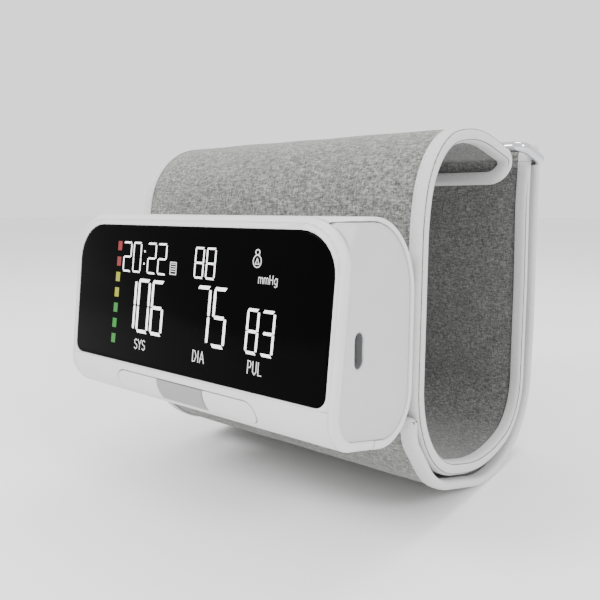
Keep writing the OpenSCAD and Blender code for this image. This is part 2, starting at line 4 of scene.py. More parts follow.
import bmesh
import bpy
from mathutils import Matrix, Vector


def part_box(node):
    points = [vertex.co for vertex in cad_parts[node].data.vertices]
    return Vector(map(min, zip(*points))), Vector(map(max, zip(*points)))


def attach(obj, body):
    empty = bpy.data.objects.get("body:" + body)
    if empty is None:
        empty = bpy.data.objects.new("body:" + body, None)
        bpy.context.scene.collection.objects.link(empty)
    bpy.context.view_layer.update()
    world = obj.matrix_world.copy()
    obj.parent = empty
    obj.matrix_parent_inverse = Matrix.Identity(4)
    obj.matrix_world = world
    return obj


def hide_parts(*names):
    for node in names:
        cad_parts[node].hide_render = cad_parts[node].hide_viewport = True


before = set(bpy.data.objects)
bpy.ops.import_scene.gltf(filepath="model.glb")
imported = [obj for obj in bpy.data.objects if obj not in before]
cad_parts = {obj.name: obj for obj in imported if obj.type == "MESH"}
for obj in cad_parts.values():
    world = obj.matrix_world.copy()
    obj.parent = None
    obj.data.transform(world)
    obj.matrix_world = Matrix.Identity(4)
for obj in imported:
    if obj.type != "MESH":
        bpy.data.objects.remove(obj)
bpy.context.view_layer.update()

# ---- Driving sizes, in millimetres ----

MM = 0.001
BODY = "monitor_and_cuff"


def box_mm(node):
    low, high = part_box(node)
    return [v / MM for v in low], [v / MM for v in high]


shell_low, shell_high = box_mm("front_shell")
rear_high = box_mm("rear_shell")[1]
MONITOR_X = (shell_low[0] + shell_high[0]) / 2
HALF_W = (shell_high[0] - shell_low[0]) / 2      # half the monitor's width
MONITOR_Y = -76.0                                # the middle of the lens's lower edge
MONITOR_Z = 56.3
BACK_Y = rear_high[1] - MONITOR_Y                # depth of the monitor at its back
TOP_Z = 48.4
LEAN = math.radians(7.1)                         # the display leans back
SEAM_Y = 19.5                                    # where the two shells meet
SIDE = [                                         # side outline: y, z, corner radius
    (TOP_Z * math.tan(LEAN), TOP_Z, 2.5),
    (BACK_Y, TOP_Z, 24.0),
    (BACK_Y, -22.0, 15.0),
    (-1.4, -11.0, 11.5),
]
BEZEL_T = 2.9                                    # thickness of the bezel plate
BEZEL_R = 14.0                                   # its two top corners
BEAD_R = 1.7                                     # rounding along its edge
LENS_W = 110.0
LENS_H = 45.3
LENS_R = (3.5, 3.5, 12.0, 12.0)                  # its corner radii, from the bottom left round
KEYS_W = 62.0
KEYS_H = 7.6
KEY_TILT = 23.0
START_KEY_W = 20.6
PORT_Y, PORT_Z = 13.5, 13.1                      # middle of the charging port
PANEL_GAP = 0.3                                  # groove between an end panel and the rim round it

HALF_CUFF = 64.25
CUFF_T = 4.2
STRAP_T = 2.6
TAPE_W = 4.4                                     # width of the edge binding
TAPE_T = 0.4                                     # and its thickness
TAPER_L = 22                                     # the cuff thins to the strap over this length
FLAP_R = 8.5                                     # corner radius of the inner flap
CUFF_LINE = [
    (37, 116, 0), (37.5, 126, 4.5), (6, 132, 70), (-26.5, 126.5, 26), (-31, 102, 60),
    (-31, 41, 36), (-16.2, 20.4, 40), (25.5, 7.8, 80), (64.4, 16.4, 22), (62, 76, 80),
    (59, 110, 80), (59, 125.2, 0),
]
STRAP_LINE = [
    (59, 125.3, 0), (59, 131.5, 5.5), (70, 131.5, 5.5), (72, 92, 120), (74.75, 56, 120), (74, 15, 28),
    (45, 1.7, 50), (24, 1.7, 50), (-17.5, 15, 36), (-34.2, 36, 12), (-34.3, 43, 0),
]
RING_FRONT = (42.0, 129.8)
RING_REAR = (64.5, 125.9)
WIRE_R = 2.0

# ---- Lines and outlines ----


def spoke(angle, length):
    """The vector of the given length at an angle in radians."""
    return Vector((math.cos(angle), math.sin(angle))) * length


def rounded_corner(a, b, c, radius, steps):
    """Points of the arc that rounds corner b of the path a, b, c."""
    u = (a - b).normalized()
    v = (c - b).normalized()
    half = u.angle(v) / 2
    if radius <= 0 or half > math.radians(89.9):
        return [b]
    middle = b + (u + v).normalized() * radius / math.sin(half)
    first = b + u * radius / math.tan(half) - middle
    last = b + v * radius / math.tan(half) - middle
    start = math.atan2(first.y, first.x)
    sweep = math.remainder(math.atan2(last.y, last.x) - start, math.tau)
    return [middle + spoke(start + sweep * i / steps, radius) for i in range(steps + 1)]


def rounded_line(corners, steps=24):
    """An open line through corners of (a, b, radius), with its inner corners rounded."""
    flat = [Vector(c[:2]) for c in corners]
    points = [flat[0]]
    for i in range(1, len(corners) - 1):
        points += rounded_corner(flat[i - 1], flat[i], flat[i + 1], corners[i][2], steps)
    return points + [flat[-1]]


def rounded_loop(corners, steps=16):
    """A closed outline through corners of (a, b, radius)."""
    flat = [Vector(c[:2]) for c in corners]
    points = []
    for i in range(len(corners)):
        points += rounded_corner(flat[i - 1], flat[i], flat[(i + 1) % len(flat)], corners[i][2], steps)
    return points


class Path:
    """A line in the (y, z) plane, walked by the distance along it. Outward is on its given side."""

    def __init__(self, points, side):
        self.points = points
        self.side = side
        self.marks = [0.0]
        for a, b in zip(points, points[1:]):
            self.marks.append(self.marks[-1] + (b - a).length)
        self.length = self.marks[-1]
        last = len(points) - 1
        self.tangents = [(points[min(i + 1, last)] - points[max(i - 1, 0)]).normalized()
                         for i in range(last + 1)]

    def at(self, s):
        """The point at distance s and the outward direction there.
        Past its ends the line runs straight on."""
        i = 0
        while i < len(self.points) - 2 and s > self.marks[i + 1]:
            i += 1
        share = (s - self.marks[i]) / (self.marks[i + 1] - self.marks[i])
        point = self.points[i].lerp(self.points[i + 1], share)
        tangent = self.tangents[i].lerp(self.tangents[i + 1], min(1, max(0, share))).normalized()
        return point, Vector((-tangent.y, tangent.x)) * self.side

    def where(self, test, start=0.0, step=0.05):
        """The first distance after start at which test(point) is true."""
        s = start
        while s < self.length and not test(self.at(s)[0]):
            s += step
        return s

    def stops(self, start, end, spacing):
        """Distances from start to end: close together in bends, further apart on straight stretches."""
        marks = [start]
        s = start
        while s < end:
            fine = spacing / 3
            bend = self.at(s)[1].angle(self.at(s + spacing)[1])
            s += fine if bend > 0.02 else spacing
            marks.append(min(s, end))
        if end - marks[-1] < 1e-6 and len(marks) > 1 and marks[-1] - marks[-2] < spacing / 10:
            marks.pop(-2)
        return marks


def inset_corners(corners, insets):
    """Moves each side of a clockwise outline inwards: insets[i] is for the side from corner i to i + 1."""
    n = len(corners)
    sides = []
    for i in range(n):
        a = Vector(corners[i][:2])
        b = Vector(corners[(i + 1) % n][:2])
        along = (b - a).normalized()
        inward = Vector((along.y, -along.x))
        sides.append((a + inward * insets[i], along))
    moved = []
    for i in range(n):
        (p, u), (q, v) = sides[i - 1], sides[i]
        share = (q - p).cross(v) / u.cross(v)
        corner = p + u * share
        radius = max(1.0, corners[i][2] - (insets[i - 1] + insets[i]) / 2)
        moved.append((corner.x, corner.y, radius))
    return moved


def round_rect(x0, x1, y0, y1, radii, inset=0.0, steps=8, side_steps=12):
    """A closed loop round a rectangle with rounded corners, anticlockwise from the bottom left.
    Loops with other insets or sizes have the same number of points."""
    x0, x1, y0, y1 = x0 + inset, x1 - inset, y0 + inset, y1 - inset
    corners = [(x0, y0, 180), (x1, y0, 270), (x1, y1, 0), (x0, y1, 90)]
    arcs = []
    for (x, y, start), radius in zip(corners, radii):
        r = max(0.02, radius - inset)
        middle = Vector((x + (r if x == x0 else -r), y + (r if y == y0 else -r)))
        arcs.append([middle + spoke(math.radians(start + 90 * i / steps), r) for i in range(steps + 1)])
    points = []
    for arc, following in zip(arcs, arcs[1:] + arcs[:1]):
        points += arc
        points += [arc[-1].lerp(following[0], i / side_steps) for i in range(1, side_steps)]
    return points


def quarter(steps):
    """(across, down) of a quarter circle of radius 1, from its edge to its top."""
    return [(1 - math.cos(math.pi / 2 * i / steps), 1 - math.sin(math.pi / 2 * i / steps))
            for i in range(steps + 1)]


# ---- Meshes ----


class Skin:
    """Points and faces of one mesh, built row by row."""

    def __init__(self):
        self.points = []
        self.faces = []

    def row(self, points):
        first = len(self.points)
        self.points += [tuple(p) for p in points]
        return list(range(first, len(self.points)))

    def bridge(self, a, b, closed=False):
        count = len(a)
        for i in range(count if closed else count - 1):
            j = (i + 1) % count
            self.faces.append((a[i], a[j], b[j], b[i]))

    def rows(self, rows, closed_row=False, closed=False):
        """Bridges a list of rows of points, and returns their indexes."""
        indexes = [self.row(r) for r in rows]
        for a, b in zip(indexes, indexes[1:]):
            self.bridge(a, b, closed_row)
        if closed:
            self.bridge(indexes[-1], indexes[0], closed_row)
        return indexes

    def cap(self, row):
        self.faces.append(tuple(row))

    def solid(self, rows):
        """Bridges closed rows of points and caps both ends."""
        indexes = self.rows(rows, closed_row=True)
        self.cap(indexes[0])
        self.cap(indexes[-1])

    def piece(self, name, material, body=BODY, sharp=35, weld=0.0005):
        mesh = bpy.data.meshes.new(name)
        mesh.from_pydata([Vector(p) * MM for p in self.points], [], self.faces)
        work = bmesh.new()
        work.from_mesh(mesh)
        bmesh.ops.remove_doubles(work, verts=work.verts, dist=weld * MM)
        bmesh.ops.recalc_face_normals(work, faces=work.faces)
        work.to_mesh(mesh)
        work.free()
        mesh.shade_smooth()
        mesh.set_sharp_from_angle(angle=math.radians(sharp))
        made = bpy.data.objects.new(name, mesh)
        bpy.context.scene.collection.objects.link(made)
        mesh.materials.append(material)
        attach(made, body)
        return made


def thicken(piece, thickness, offset=-1.0):
    """Gives an open skin a real thickness, in millimetres. Offset -1 is inwards, 1 outwards."""
    solid = piece.modifiers.new("thickness", "SOLIDIFY")
    solid.thickness = thickness * MM
    solid.offset = offset
    solid.use_even_offset = True
    solid.use_quality_normals = True
    return piece


# ---- Materials ----


class Shader:
    """A Principled material whose detail comes from noise in the object's own coordinates."""

    def __init__(self, name, color, roughness, metallic=0.0, specular=0.5, sheen=0.0, coat=0.0):
        self.material = bpy.data.materials.new(name)
        self.material.use_nodes = True
        self.tree = self.material.node_tree
        self.surface = self.tree.nodes["Principled BSDF"]
        self.surface.inputs["Base Color"].default_value = (*color, 1)
        self.surface.inputs["Roughness"].default_value = roughness
        self.surface.inputs["Metallic"].default_value = metallic
        self.surface.inputs["Specular IOR Level"].default_value = specular
        self.surface.inputs["Sheen Weight"].default_value = sheen
        self.surface.inputs["Sheen Roughness"].default_value = 0.5
        self.surface.inputs["Coat Weight"].default_value = coat
        self.surface.inputs["Coat Roughness"].default_value = 0.15
        self.heights = []

    def node(self, kind, **values):
        made = self.tree.nodes.new(kind)
        for key, value in values.items():
            if key in made.inputs:
                made.inputs[key].default_value = value
            else:
                setattr(made, key, value)
        return made

    def link(self, source, target):
        self.tree.links.new(source, target)

    def place(self, stretch=(1, 1, 1)):
        """The object's own coordinates, with features drawn out along an axis by a small factor there."""
        here = self.node("ShaderNodeTexCoord")
        mapping = self.node("ShaderNodeMapping", Scale=stretch)
        self.link(here.outputs["Object"], mapping.inputs["Vector"])
        return mapping.outputs["Vector"]

    def noise(self, size_mm, stretch=(1, 1, 1), detail=3.0, roughness=0.5, distortion=0.0):
        made = self.node("ShaderNodeTexNoise", Scale=1 / (size_mm * MM), Detail=detail, Distortion=distortion)
        made.inputs["Roughness"].default_value = roughness
        self.link(self.place(stretch), made.inputs["Vector"])
        return made.outputs["Fac"]

    def ramp(self, source, stops):
        made = self.node("ShaderNodeValToRGB")
        ramp = made.color_ramp
        while len(ramp.elements) < len(stops):
            ramp.elements.new(0.5)
        for element, (position, color) in zip(ramp.elements, stops):
            element.position = position
            element.color = (*color, 1)
        self.link(source, made.inputs["Fac"])
        return made.outputs["Color"]

    def mix(self, a, b, kind="MULTIPLY", factor=1.0):
        made = self.node("ShaderNodeMix", data_type="RGBA", blend_type=kind)
        made.inputs[0].default_value = factor
        self.link(a, made.inputs[6])
        self.link(b, made.inputs[7])
        return made.outputs[2]

    def color(self, source):
        self.link(source, self.surface.inputs["Base Color"])
        return self

    def rough(self, source, low, high):
        spread = self.node("ShaderNodeMapRange")
        spread.inputs["To Min"].default_value = low
        spread.inputs["To Max"].default_value = high
        self.link(source, spread.inputs["Value"])
        self.link(spread.outputs["Result"], self.surface.inputs["Roughness"])
        return self

    def bump(self, source, height_mm, strength=1.0):
        made = self.node("ShaderNodeBump", Distance=height_mm * MM, Strength=strength)
        self.link(source, made.inputs["Height"])
        if self.heights:
            self.link(self.heights[-1], made.inputs["Normal"])
        self.heights.append(made.outputs["Normal"])
        self.link(made.outputs["Normal"], self.surface.inputs["Normal"])
        return self


def shades(color, spread):
    """Two shades of one colour, a little darker and a little lighter."""
    return [tuple(min(1, c * (1 - spread)) for c in color), tuple(min(1, c * (1 + spread)) for c in color)]


def moulded(name, color, roughness=0.38):
    """Moulded plastic: an even colour, a fine spark-eroded grain and faint flow marks."""
    shader = Shader(name, color, roughness)
    low, high = shades(color, 0.015)
    shader.color(shader.ramp(shader.noise(14, detail=2), [(0.35, low), (0.65, high)]))
    shader.rough(shader.noise(5), roughness - 0.05, roughness + 0.07)
    shader.bump(shader.noise(0.25, detail=2), 0.004)
    return shader.material


def metal(name, color, roughness, stretch=(1, 1, 1), spread=0.06, scratch=0.003):
    """Metal with fine drawn or turned marks."""
    shader = Shader(name, color, roughness, metallic=1.0)
    low, high = shades(color, spread)
    marks = shader.noise(0.6, stretch=stretch, detail=4)
    shader.color(shader.ramp(shader.noise(6), [(0.3, low), (0.7, high)]))
    shader.rough(marks, max(0.02, roughness - 0.05), roughness + 0.12)
    shader.bump(marks, scratch)
    return shader.material


def melange(name, dark, mid, light, fleck_mm, bump=0.1):
    """Flecked woven cloth: dark and light fibres mixed in every thread, with threads both ways."""
    shader = Shader(name, mid, 0.92, specular=0.2, sheen=0.25)
    across = shader.noise(fleck_mm, stretch=(0.45, 1.4, 1.4), detail=4, roughness=0.65, distortion=0.6)
    along = shader.noise(fleck_mm, stretch=(1.5, 0.6, 0.6), detail=4, roughness=0.65, distortion=0.6)
    patches = shader.noise(9, detail=3)
    first = shader.ramp(across, [(0.36, dark), (0.5, mid), (0.66, light)])
    second = shader.ramp(along, [(0.34, dark), (0.5, mid), (0.68, light)])
    both = shader.mix(first, second, "MIX", 0.5)
    tone = shader.ramp(patches, [(0.3, (0.88, 0.88, 0.88)), (0.7, (1.0, 1.0, 1.0))])
    shader.color(shader.mix(both, tone))
    shader.bump(across, bump).bump(along, bump)
    return shader.material


def tape(name, color):
    """Smooth binding tape: a tight fine weave with a slight sheen."""
    shader = Shader(name, color, 0.6, specular=0.35, sheen=0.15)
    low, high = shades(color, 0.03)
    shader.color(shader.ramp(shader.noise(1.2, detail=3), [(0.35, low), (0.65, high)]))
    shader.bump(shader.noise(0.22, detail=1), 0.02).bump(shader.noise(3), 0.08)
    return shader.material


def rubber(name, color):
    shader = Shader(name, color, 0.75, specular=0.3)
    low, high = shades(color, 0.15)
    shader.color(shader.ramp(shader.noise(4), [(0.3, low), (0.7, high)]))
    shader.bump(shader.noise(0.5), 0.02)
    return shader.material


def circuit_board(name):
    """Green solder mask with lighter copper tracks under it."""
    shader = Shader(name, (0.02, 0.18, 0.07), 0.35, coat=0.4)
    tracks = shader.node("ShaderNodeTexBrick", Scale=120.0)
    tracks.inputs["Color1"].default_value = (0.02, 0.16, 0.06, 1)
    tracks.inputs["Color2"].default_value = (0.03, 0.20, 0.08, 1)
    tracks.inputs["Mortar"].default_value = (0.08, 0.36, 0.14, 1)
    tracks.inputs["Mortar Size"].default_value = 0.02
    shader.link(shader.place(), tracks.inputs["Vector"])
    shader.color(tracks.outputs["Color"])
    shader.bump(shader.noise(1.0), 0.01)
    return shader.material


def glowing(name, color, strength):
    """Lit figures behind the lens: an even glow with a slight cell pattern."""
    shader = Shader(name, (0, 0, 0), 0.5)
    low, high = shades(color, 0.04)
    glow = shader.ramp(shader.noise(0.4), [(0.4, low), (0.6, high)])
    shader.link(glow, shader.surface.inputs["Emission Color"])
    shader.surface.inputs["Emission Strength"].default_value = strength
    return shader.material


def lens_black():
    """Black anti-glare lens: hardly any reflection, and faint smoothness marks."""
    shader = Shader("lens_black", (0.001, 0.001, 0.0012), 0.1)
    shader.surface.inputs["IOR"].default_value = 1.08
    shader.rough(shader.noise(8), 0.08, 0.14)
    return shader.material


WHITE = moulded("white_plastic", (0.64, 0.64, 0.65))
# End panels: partly their own light grey, and partly painted shade, made darker than the white housing to
# stand in for the shade of the recessed panel and its cove.
PANEL_WITH_PAINTED_SHADE = moulded("panel_plastic_with_painted_shade", (0.52, 0.52, 0.53), roughness=0.42)
KEY_WHITE = moulded("key_white", (0.64, 0.64, 0.65), roughness=0.32)
KEY_GREY = moulded("key_grey", (0.26, 0.26, 0.26), roughness=0.45)
PORT_GREY = moulded("port_grey", (0.16, 0.16, 0.165), roughness=0.5)
LENS = lens_black()
CLOTH = melange("grey_cloth", (0.03, 0.03, 0.028), (0.145, 0.145, 0.137), (0.42, 0.42, 0.40),
                fleck_mm=0.9)
LINING = melange("lining_cloth", (0.035, 0.035, 0.034), (0.115, 0.115, 0.112), (0.27, 0.27, 0.265),
                 fleck_mm=0.8)
TAPE = tape("binding_tape", (0.55, 0.55, 0.55))
THREAD = tape("stitching", (0.47, 0.47, 0.47))
CHROME = metal("chrome", (0.58, 0.59, 0.61), 0.1, spread=0.02, scratch=0.0005)
STEEL = metal("steel", (0.56, 0.57, 0.59), 0.3, stretch=(0.2, 1, 1))
COPPER = metal("copper_winding", (0.72, 0.36, 0.18), 0.35, stretch=(4, 1, 1), scratch=0.03)
DARK = moulded("dark_plastic", (0.025, 0.025, 0.028), roughness=0.5)
CREAM = moulded("moulded_plastic", (0.70, 0.70, 0.66), roughness=0.5)
SMOKE = moulded("diffuser_film", (0.10, 0.10, 0.11), roughness=0.6)
RUBBER = rubber("rubber", (0.03, 0.03, 0.035))
FOAM = rubber("foam", (0.02, 0.02, 0.022))
FOIL = metal("battery_foil", (0.60, 0.61, 0.63), 0.35, spread=0.1)
BOARD = circuit_board("circuit_board")
HOOKS = melange("hook_tape", (0.10, 0.10, 0.10), (0.18, 0.18, 0.18), (0.30, 0.30, 0.30),
                fleck_mm=0.4, bump=0.3)

CAD_FINISH = {
    "display_diffuser": SMOKE, "display_reflector": DARK, "main_board": BOARD, "processor_chip": DARK,
    "pressure_sensor": DARK, "buzzer": DARK, "battery": FOIL, "battery_foam": FOAM, "usb_socket": STEEL,
    "usb_board": BOARD, "key_board": BOARD, "key_switches": DARK, "pump_motor_can": STEEL,
    "pump_rotor": COPPER, "pump_head": CREAM, "pump_membrane": RUBBER, "valve_body": DARK,
    "valve_plunger": STEEL, "valve_spring": STEEL, "air_manifold": CREAM, "air_tubes": RUBBER,
    "cuff_nozzle": CREAM, "housing_screws": STEEL, "board_screws": STEEL, "plate_screws": STEEL,
    "cuff_plate": DARK, "curl_former": CREAM, "air_bladder": RUBBER, "hook_patch": HOOKS,
}
for cad_name, finish in CAD_FINISH.items():
    cad_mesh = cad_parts[cad_name].data
    cad_mesh.materials.clear()
    cad_mesh.materials.append(finish)

# ---- Monitor housing ----


def in_frame(x, y, z):
    """A point of the monitor's own frame, moved to the object's frame."""
    return (MONITOR_X + x, MONITOR_Y + y, MONITOR_Z + z)


def bezel_half_width(z):
    """Half the bezel's width at height z: its two top corners are round."""
    down = (TOP_Z - z) / math.cos(LEAN)
    if down >= BEZEL_R:
        return HALF_W
    return HALF_W - BEZEL_R + math.sqrt(max(0.0, BEZEL_R**2 - (BEZEL_R - down)**2))


def end_x(y, z):
    """Where the housing ends. Next to the bezel's round corners the end sweeps in to meet them."""
    missing = HALF_W - bezel_half_width(z)
    if missing < 0.01:
        return HALF_W
    reach = 10.5 * math.sqrt(missing / BEZEL_R)
    share = (y - z * math.tan(LEAN) - BEZEL_T) / reach
    return HALF_W - missing * max(0.0, 1 - max(0.0, share))**2.2


def evenly(loop, count):
    """A closed loop with count evenly spaced points along the given one, from its first point on."""
    path = Path(loop + loop[:1], side=1)
    return [path.at(path.length * i / count)[0] for i in range(count)]


def panel_outline():
    """Outline of an end panel: the rim round it is thin on top and wide at the back and front."""
    top, back, bottom, front = 1.45, 3.1, 3.0, BEZEL_T + PANEL_GAP
    return evenly(rounded_loop(inset_corners(SIDE, [top, back, bottom, front]), steps=24), 132)


PANEL_OUTLINE = panel_outline()


def gap_to(outline, point):
    """Shortest distance from a point to a closed outline."""
    best = 1e9
    for a, b in zip(outline, outline[1:] + outline[:1]):
        along = b - a
        share = min(1, max(0, (point - a).dot(along) / max(1e-9, along.length_squared)))
        best = min(best, (a + along * share - point).length)
    return best


def rim_section(lip, bead, sink):
    """Half of a shell's section, as (x past its end, depth): round the rim, down behind the end panel,
    to the inner wall."""
    recess = 3.6
    wall = 2.4
    edge = 0.25
    points = [(-bead * across, bead * down + sink) for across, down in reversed(quarter(6))]
    points += [(0.0, max(bead, lip - edge)), (-edge * 0.3, lip - edge * 0.3), (-edge, lip)]
    points += [(-recess, lip), (-recess, max(wall, lip + 0.1))]
    return points


def shell_row(path, s, sink=0.0):
    """One closed section of a shell across the whole width of the monitor."""
    point, outward = path.at(s)
    lip = max(1.15, gap_to(PANEL_OUTLINE, point) - PANEL_GAP)
    bead = min(BEAD_R, lip * 0.5)
    half = []
    for past, depth in rim_section(lip, bead, sink):
        here = point - outward * depth
        half.append((end_x(here.x, here.y) + past, here))
    section = half + [(-x, here) for x, here in reversed(half)]
    return [in_frame(x, *here) for x, here in section]


def chamfered_stops(path, start, end, spacing, chamfer=0.22):
    """Stops with a small chamfer at both ends, as (distance, how far the outside is sunk there)."""
    inner = [(s, 0.0) for s in path.stops(start + chamfer, end - chamfer, spacing)]
    return [(start, chamfer)] + inner + [(end, chamfer)]


def shell_piece(name, path, start, end):
    skin = Skin()
    skin.solid([shell_row(path, s, sink) for s, sink in chamfered_stops(path, start, end, 2.4)])
    return skin.piece(name, WHITE)


def side_path():
    """The side outline as an open line that starts and ends in the middle of the face."""
    z = TOP_Z / 2
    middle = (z * math.tan(LEAN), z, 0)
    return Path(rounded_line([middle, *SIDE, middle], steps=40), side=1)


HOUSING = side_path()
TOP_SEAM = HOUSING.where(lambda p: p.y > TOP_Z - 1 and p.x > SEAM_Y)
BOTTOM_SEAM = HOUSING.where(lambda p: p.x < SEAM_Y, start=TOP_SEAM + 50)
TOP_START = HOUSING.where(lambda p: p.y > TOP_Z - 1 and p.x > SIDE[0][0] + BEZEL_T - 0.2)
SEAM_GAP = 0.08


def bezel_path():
    """The line that the bezel plate follows: down the face, round the bottom edge, to the seam."""
    seam = HOUSING.at(BOTTOM_SEAM)[0]
    return Path(rounded_line([SIDE[0], SIDE[3], (seam.x - SEAM_GAP, seam.y, 0)], steps=40), side=1)


BEZEL = bezel_path()
FACE_LENGTH = TOP_Z / math.cos(LEAN)
ARC_START = FACE_LENGTH + 0.6                    # the face bends from here on, just below the lens


def on_bezel(x, t, depth):
    """A point of the bezel plate: t runs down the face and round the edge, depth is into the plate."""
    point, outward = BEZEL.at(t)
    return in_frame(x, *(point + outward * depth))


def on_face(x, up, out=0.0):
    """A point on the display: up its slope from the lens's lower edge, and out of it."""
    return on_bezel(x, FACE_LENGTH - up, -out)


def on_keys(x, up, out=0.0):
    """A point on the rounded edge: up is measured across it from the middle of the keys."""
    radius = SIDE[3][2]
    along = radius * math.asin(up / radius) if abs(up) <= KEY_EDGE else up + math.copysign(KEY_CURVE, up)
    return on_bezel(x, KEYS_T - along, -out)


def keys_middle():
    """How far along the bezel the middle of the keys lies: where the edge faces down by the keys' tilt."""
    facing = math.radians(-KEY_TILT)
    t = ARC_START
    while t < BEZEL.length:
        outward = -BEZEL.at(t)[1]
        if math.atan2(outward.y, -outward.x) < facing:
            return t
        t += 0.02
    return t


KEYS_T = keys_middle()
KEY_EDGE = KEYS_H / 2 + 1
KEY_CURVE = SIDE[3][2] * math.asin(KEY_EDGE / SIDE[3][2]) - KEY_EDGE      # the arc is this much longer


def hole_walls(skin, loop_at, depth, edge):
    """A hole's rounded edge and walls. loop_at(grow, sink) gives the hole's loop, larger by grow."""
    loops = [loop_at(edge * (1 - math.sin(a)), edge * (1 - math.cos(a)))
             for a in (math.pi / 2 * i / 3 for i in range(4))]
    loops.append(loop_at(0.0, depth))
    return skin.rows(loops, closed_row=True)


def bezel():
    """The bezel plate: flat face with the lens opening, rounded edge with the key opening."""
    skin = Skin()
    bead = quarter(6)
    flat_w = HALF_W - BEAD_R
    lens_gap = 0.12
    key_gap = 0.3
    wall = 1.7                                       # depth of both holes' walls
    edge = 0.25                                      # rounding of their edges

    def lens_loop(grow, depth):
        loop = round_rect(-LENS_W / 2 - lens_gap - grow, LENS_W / 2 + lens_gap + grow,
                          -lens_gap - grow, LENS_H + lens_gap + grow, [r + grow for r in LENS_R])
        return [on_face(p.x, p.y, -depth) for p in loop]

    def outer_loop():
        r = BEZEL_R - BEAD_R
        loop = round_rect(-flat_w, flat_w, FACE_LENGTH - ARC_START, FACE_LENGTH - BEAD_R, (0.02, 0.02, r, r))
        return [on_face(p.x, p.y) for p in loop]

    def key_loop(grow, depth):
        half_h = KEYS_H / 2 + key_gap + grow
        half_w = KEYS_W / 2 + key_gap + grow
        loop = round_rect(-half_w, half_w, -half_h, half_h, [half_h] * 4)
        return [on_keys(p.x, p.y, -depth) for p in loop]

    inner = hole_walls(skin, lens_loop, wall, edge)[0]
    outer = skin.row(outer_loop())
    skin.bridge(outer, inner, closed=True)

    inner = hole_walls(skin, key_loop, wall, edge)[0]
    end_t = BEZEL.length - 0.25
    half_h = KEYS_H / 2 + key_gap + edge
    half_w = KEYS_W / 2 + key_gap + edge
    small = round_rect(-half_w, half_w, -half_h, half_h, [half_h] * 4)
    large = round_rect(-flat_w, flat_w, KEYS_T - end_t, KEYS_T - ARC_START, [0.02] * 4)
    previous = inner
    steps = 14
    for i in range(1, steps + 1):
        loop = [a.lerp(b, i / steps) for a, b in zip(small, large)]
        row = skin.row([on_keys(p.x, p.y) for p in loop])
        skin.bridge(row, previous, closed=True)
        previous = row

    # The bead round the left, top and right edges, as one strip from seam to seam.
    stations = bezel_edge(end_t)
    strip = []
    for x, t, out_x, out_t in stations:
        row = []
        for across, down in reversed(bead):
            out = BEAD_R * (1 - across)
            row.append(on_bezel(x + out_x * out, t + out_t * out, BEAD_R * down))
        row.append(on_bezel(x + out_x * BEAD_R, t + out_t * BEAD_R, BEZEL_T))
        strip.append(row)
    skin.rows(strip)

    # The chamfer and the wall at the seam under the monitor.
    last = [p for p in large if abs(p.y - (KEYS_T - end_t)) < 1e-3]
    last.sort(key=lambda p: p.x)
    skin.rows([[on_keys(p.x, p.y) for p in last],
               [on_bezel(p.x, BEZEL.length, 0.22) for p in last],
               [on_bezel(p.x, BEZEL.length, 2.0) for p in last]])
    return thicken(skin.piece("front_bezel", WHITE, weld=0.02), 1.0)


def bezel_edge(end_t):
    """Stations along the bezel's inner bead line, as (x, t, outward x, outward t): from the left end
    of the seam over the top to its right end."""
    r = BEZEL_R - BEAD_R
    steps = 24
    flat_w = HALF_W - BEAD_R
    left = []
    t = end_t
    while t > BEZEL_R:
        left.append((-flat_w, t, -1.0, 0.0))
        t -= 1.0
    corner = []
    for i in range(steps + 1):
        angle = math.pi / 2 * i / steps
        corner.append((-flat_w + r - r * math.cos(angle), BEZEL_R - r * math.sin(angle),
                       -math.cos(angle), -math.sin(angle)))
    half = left + corner
    return half + [(-x, t, -ox, ot) for x, t, ox, ot in reversed(half)]


def end_panel(side, name, node, hole):
    """A dished end panel: its edge turns up to the rim in a soft cove."""
    skin = Skin()
    cove = 1.3
    dish = 1.4
    edge_sink = 0.55
    thickness = 1.6
    centre = Vector((PORT_Y, PORT_Z)) if hole else Vector((22.0, 14.0))
    if hole:
        target = pill_loop(centre, (PANEL_OUTLINE[0] - centre).normalized(), len(PANEL_OUTLINE))
    else:
        target = [centre + (p - centre).normalized() * 0.5 for p in PANEL_OUTLINE]

    def place(p, recess):
        return in_frame(side * (end_x(p.x, p.y) - recess), p.x, p.y)

    rows = []
    cove_steps = 7
    for i in range(cove_steps + 1):
        share = i / cove_steps
        recess = edge_sink + (dish - edge_sink) * math.sin(math.pi / 2 * share)
        loop = [p + (q - p).normalized() * cove * share * 1.15 for p, q in zip(PANEL_OUTLINE, target)]
        rows.append((loop, recess))
    inner = rows[-1][0]
    steps = 16
    for i in range(1, steps + 1):
        share = i / steps
        rows.append(([a.lerp(b, share) for a, b in zip(inner, target)], dish))
    skirt = [place(p, dish + thickness) for p in PANEL_OUTLINE]
    placed = [[place(p, recess) for p in loop] for loop, recess in rows]
    indexes = skin.rows([skirt] + placed, closed_row=True)
    if hole:
        rim = rows[-1][0]
        edge = 0.3
        walls = []
        for shrink, down in ((edge * 0.3, edge * 0.3), (edge, edge), (edge, thickness)):
            loop = [q + (centre - q).normalized() * shrink for q in rim]
            walls.append([place(p, dish + down) for p in loop])
        wall_rows = skin.rows(walls, closed_row=True)
        skin.bridge(indexes[-1], wall_rows[0], closed=True)
        skin.bridge(wall_rows[-1], indexes[0], closed=True)
    else:
        skin.cap(indexes[-1])
        skin.cap(indexes[0])
    piece = skin.piece(name, PANEL_WITH_PAINTED_SHADE, sharp=50)
    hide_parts(node)
    return piece


def pill_loop(centre, first, count, half_l=5.3, half_w=2.4):
    """An upright slot with round ends, clockwise like the panel's outline, from the direction first on."""
    fine = 24
    r = half_w
    straight = half_l - half_w
    points = [Vector((-r * math.cos(math.pi * i / fine), straight + r * math.sin(math.pi * i / fine)))
              for i in range(fine + 1)]
    points += [-p for p in points]
    start = min(range(len(points)), key=lambda i: points[i].normalized().angle(first))
    points = points[start:] + points[:start]
    return [centre + p for p in evenly(points, count)]


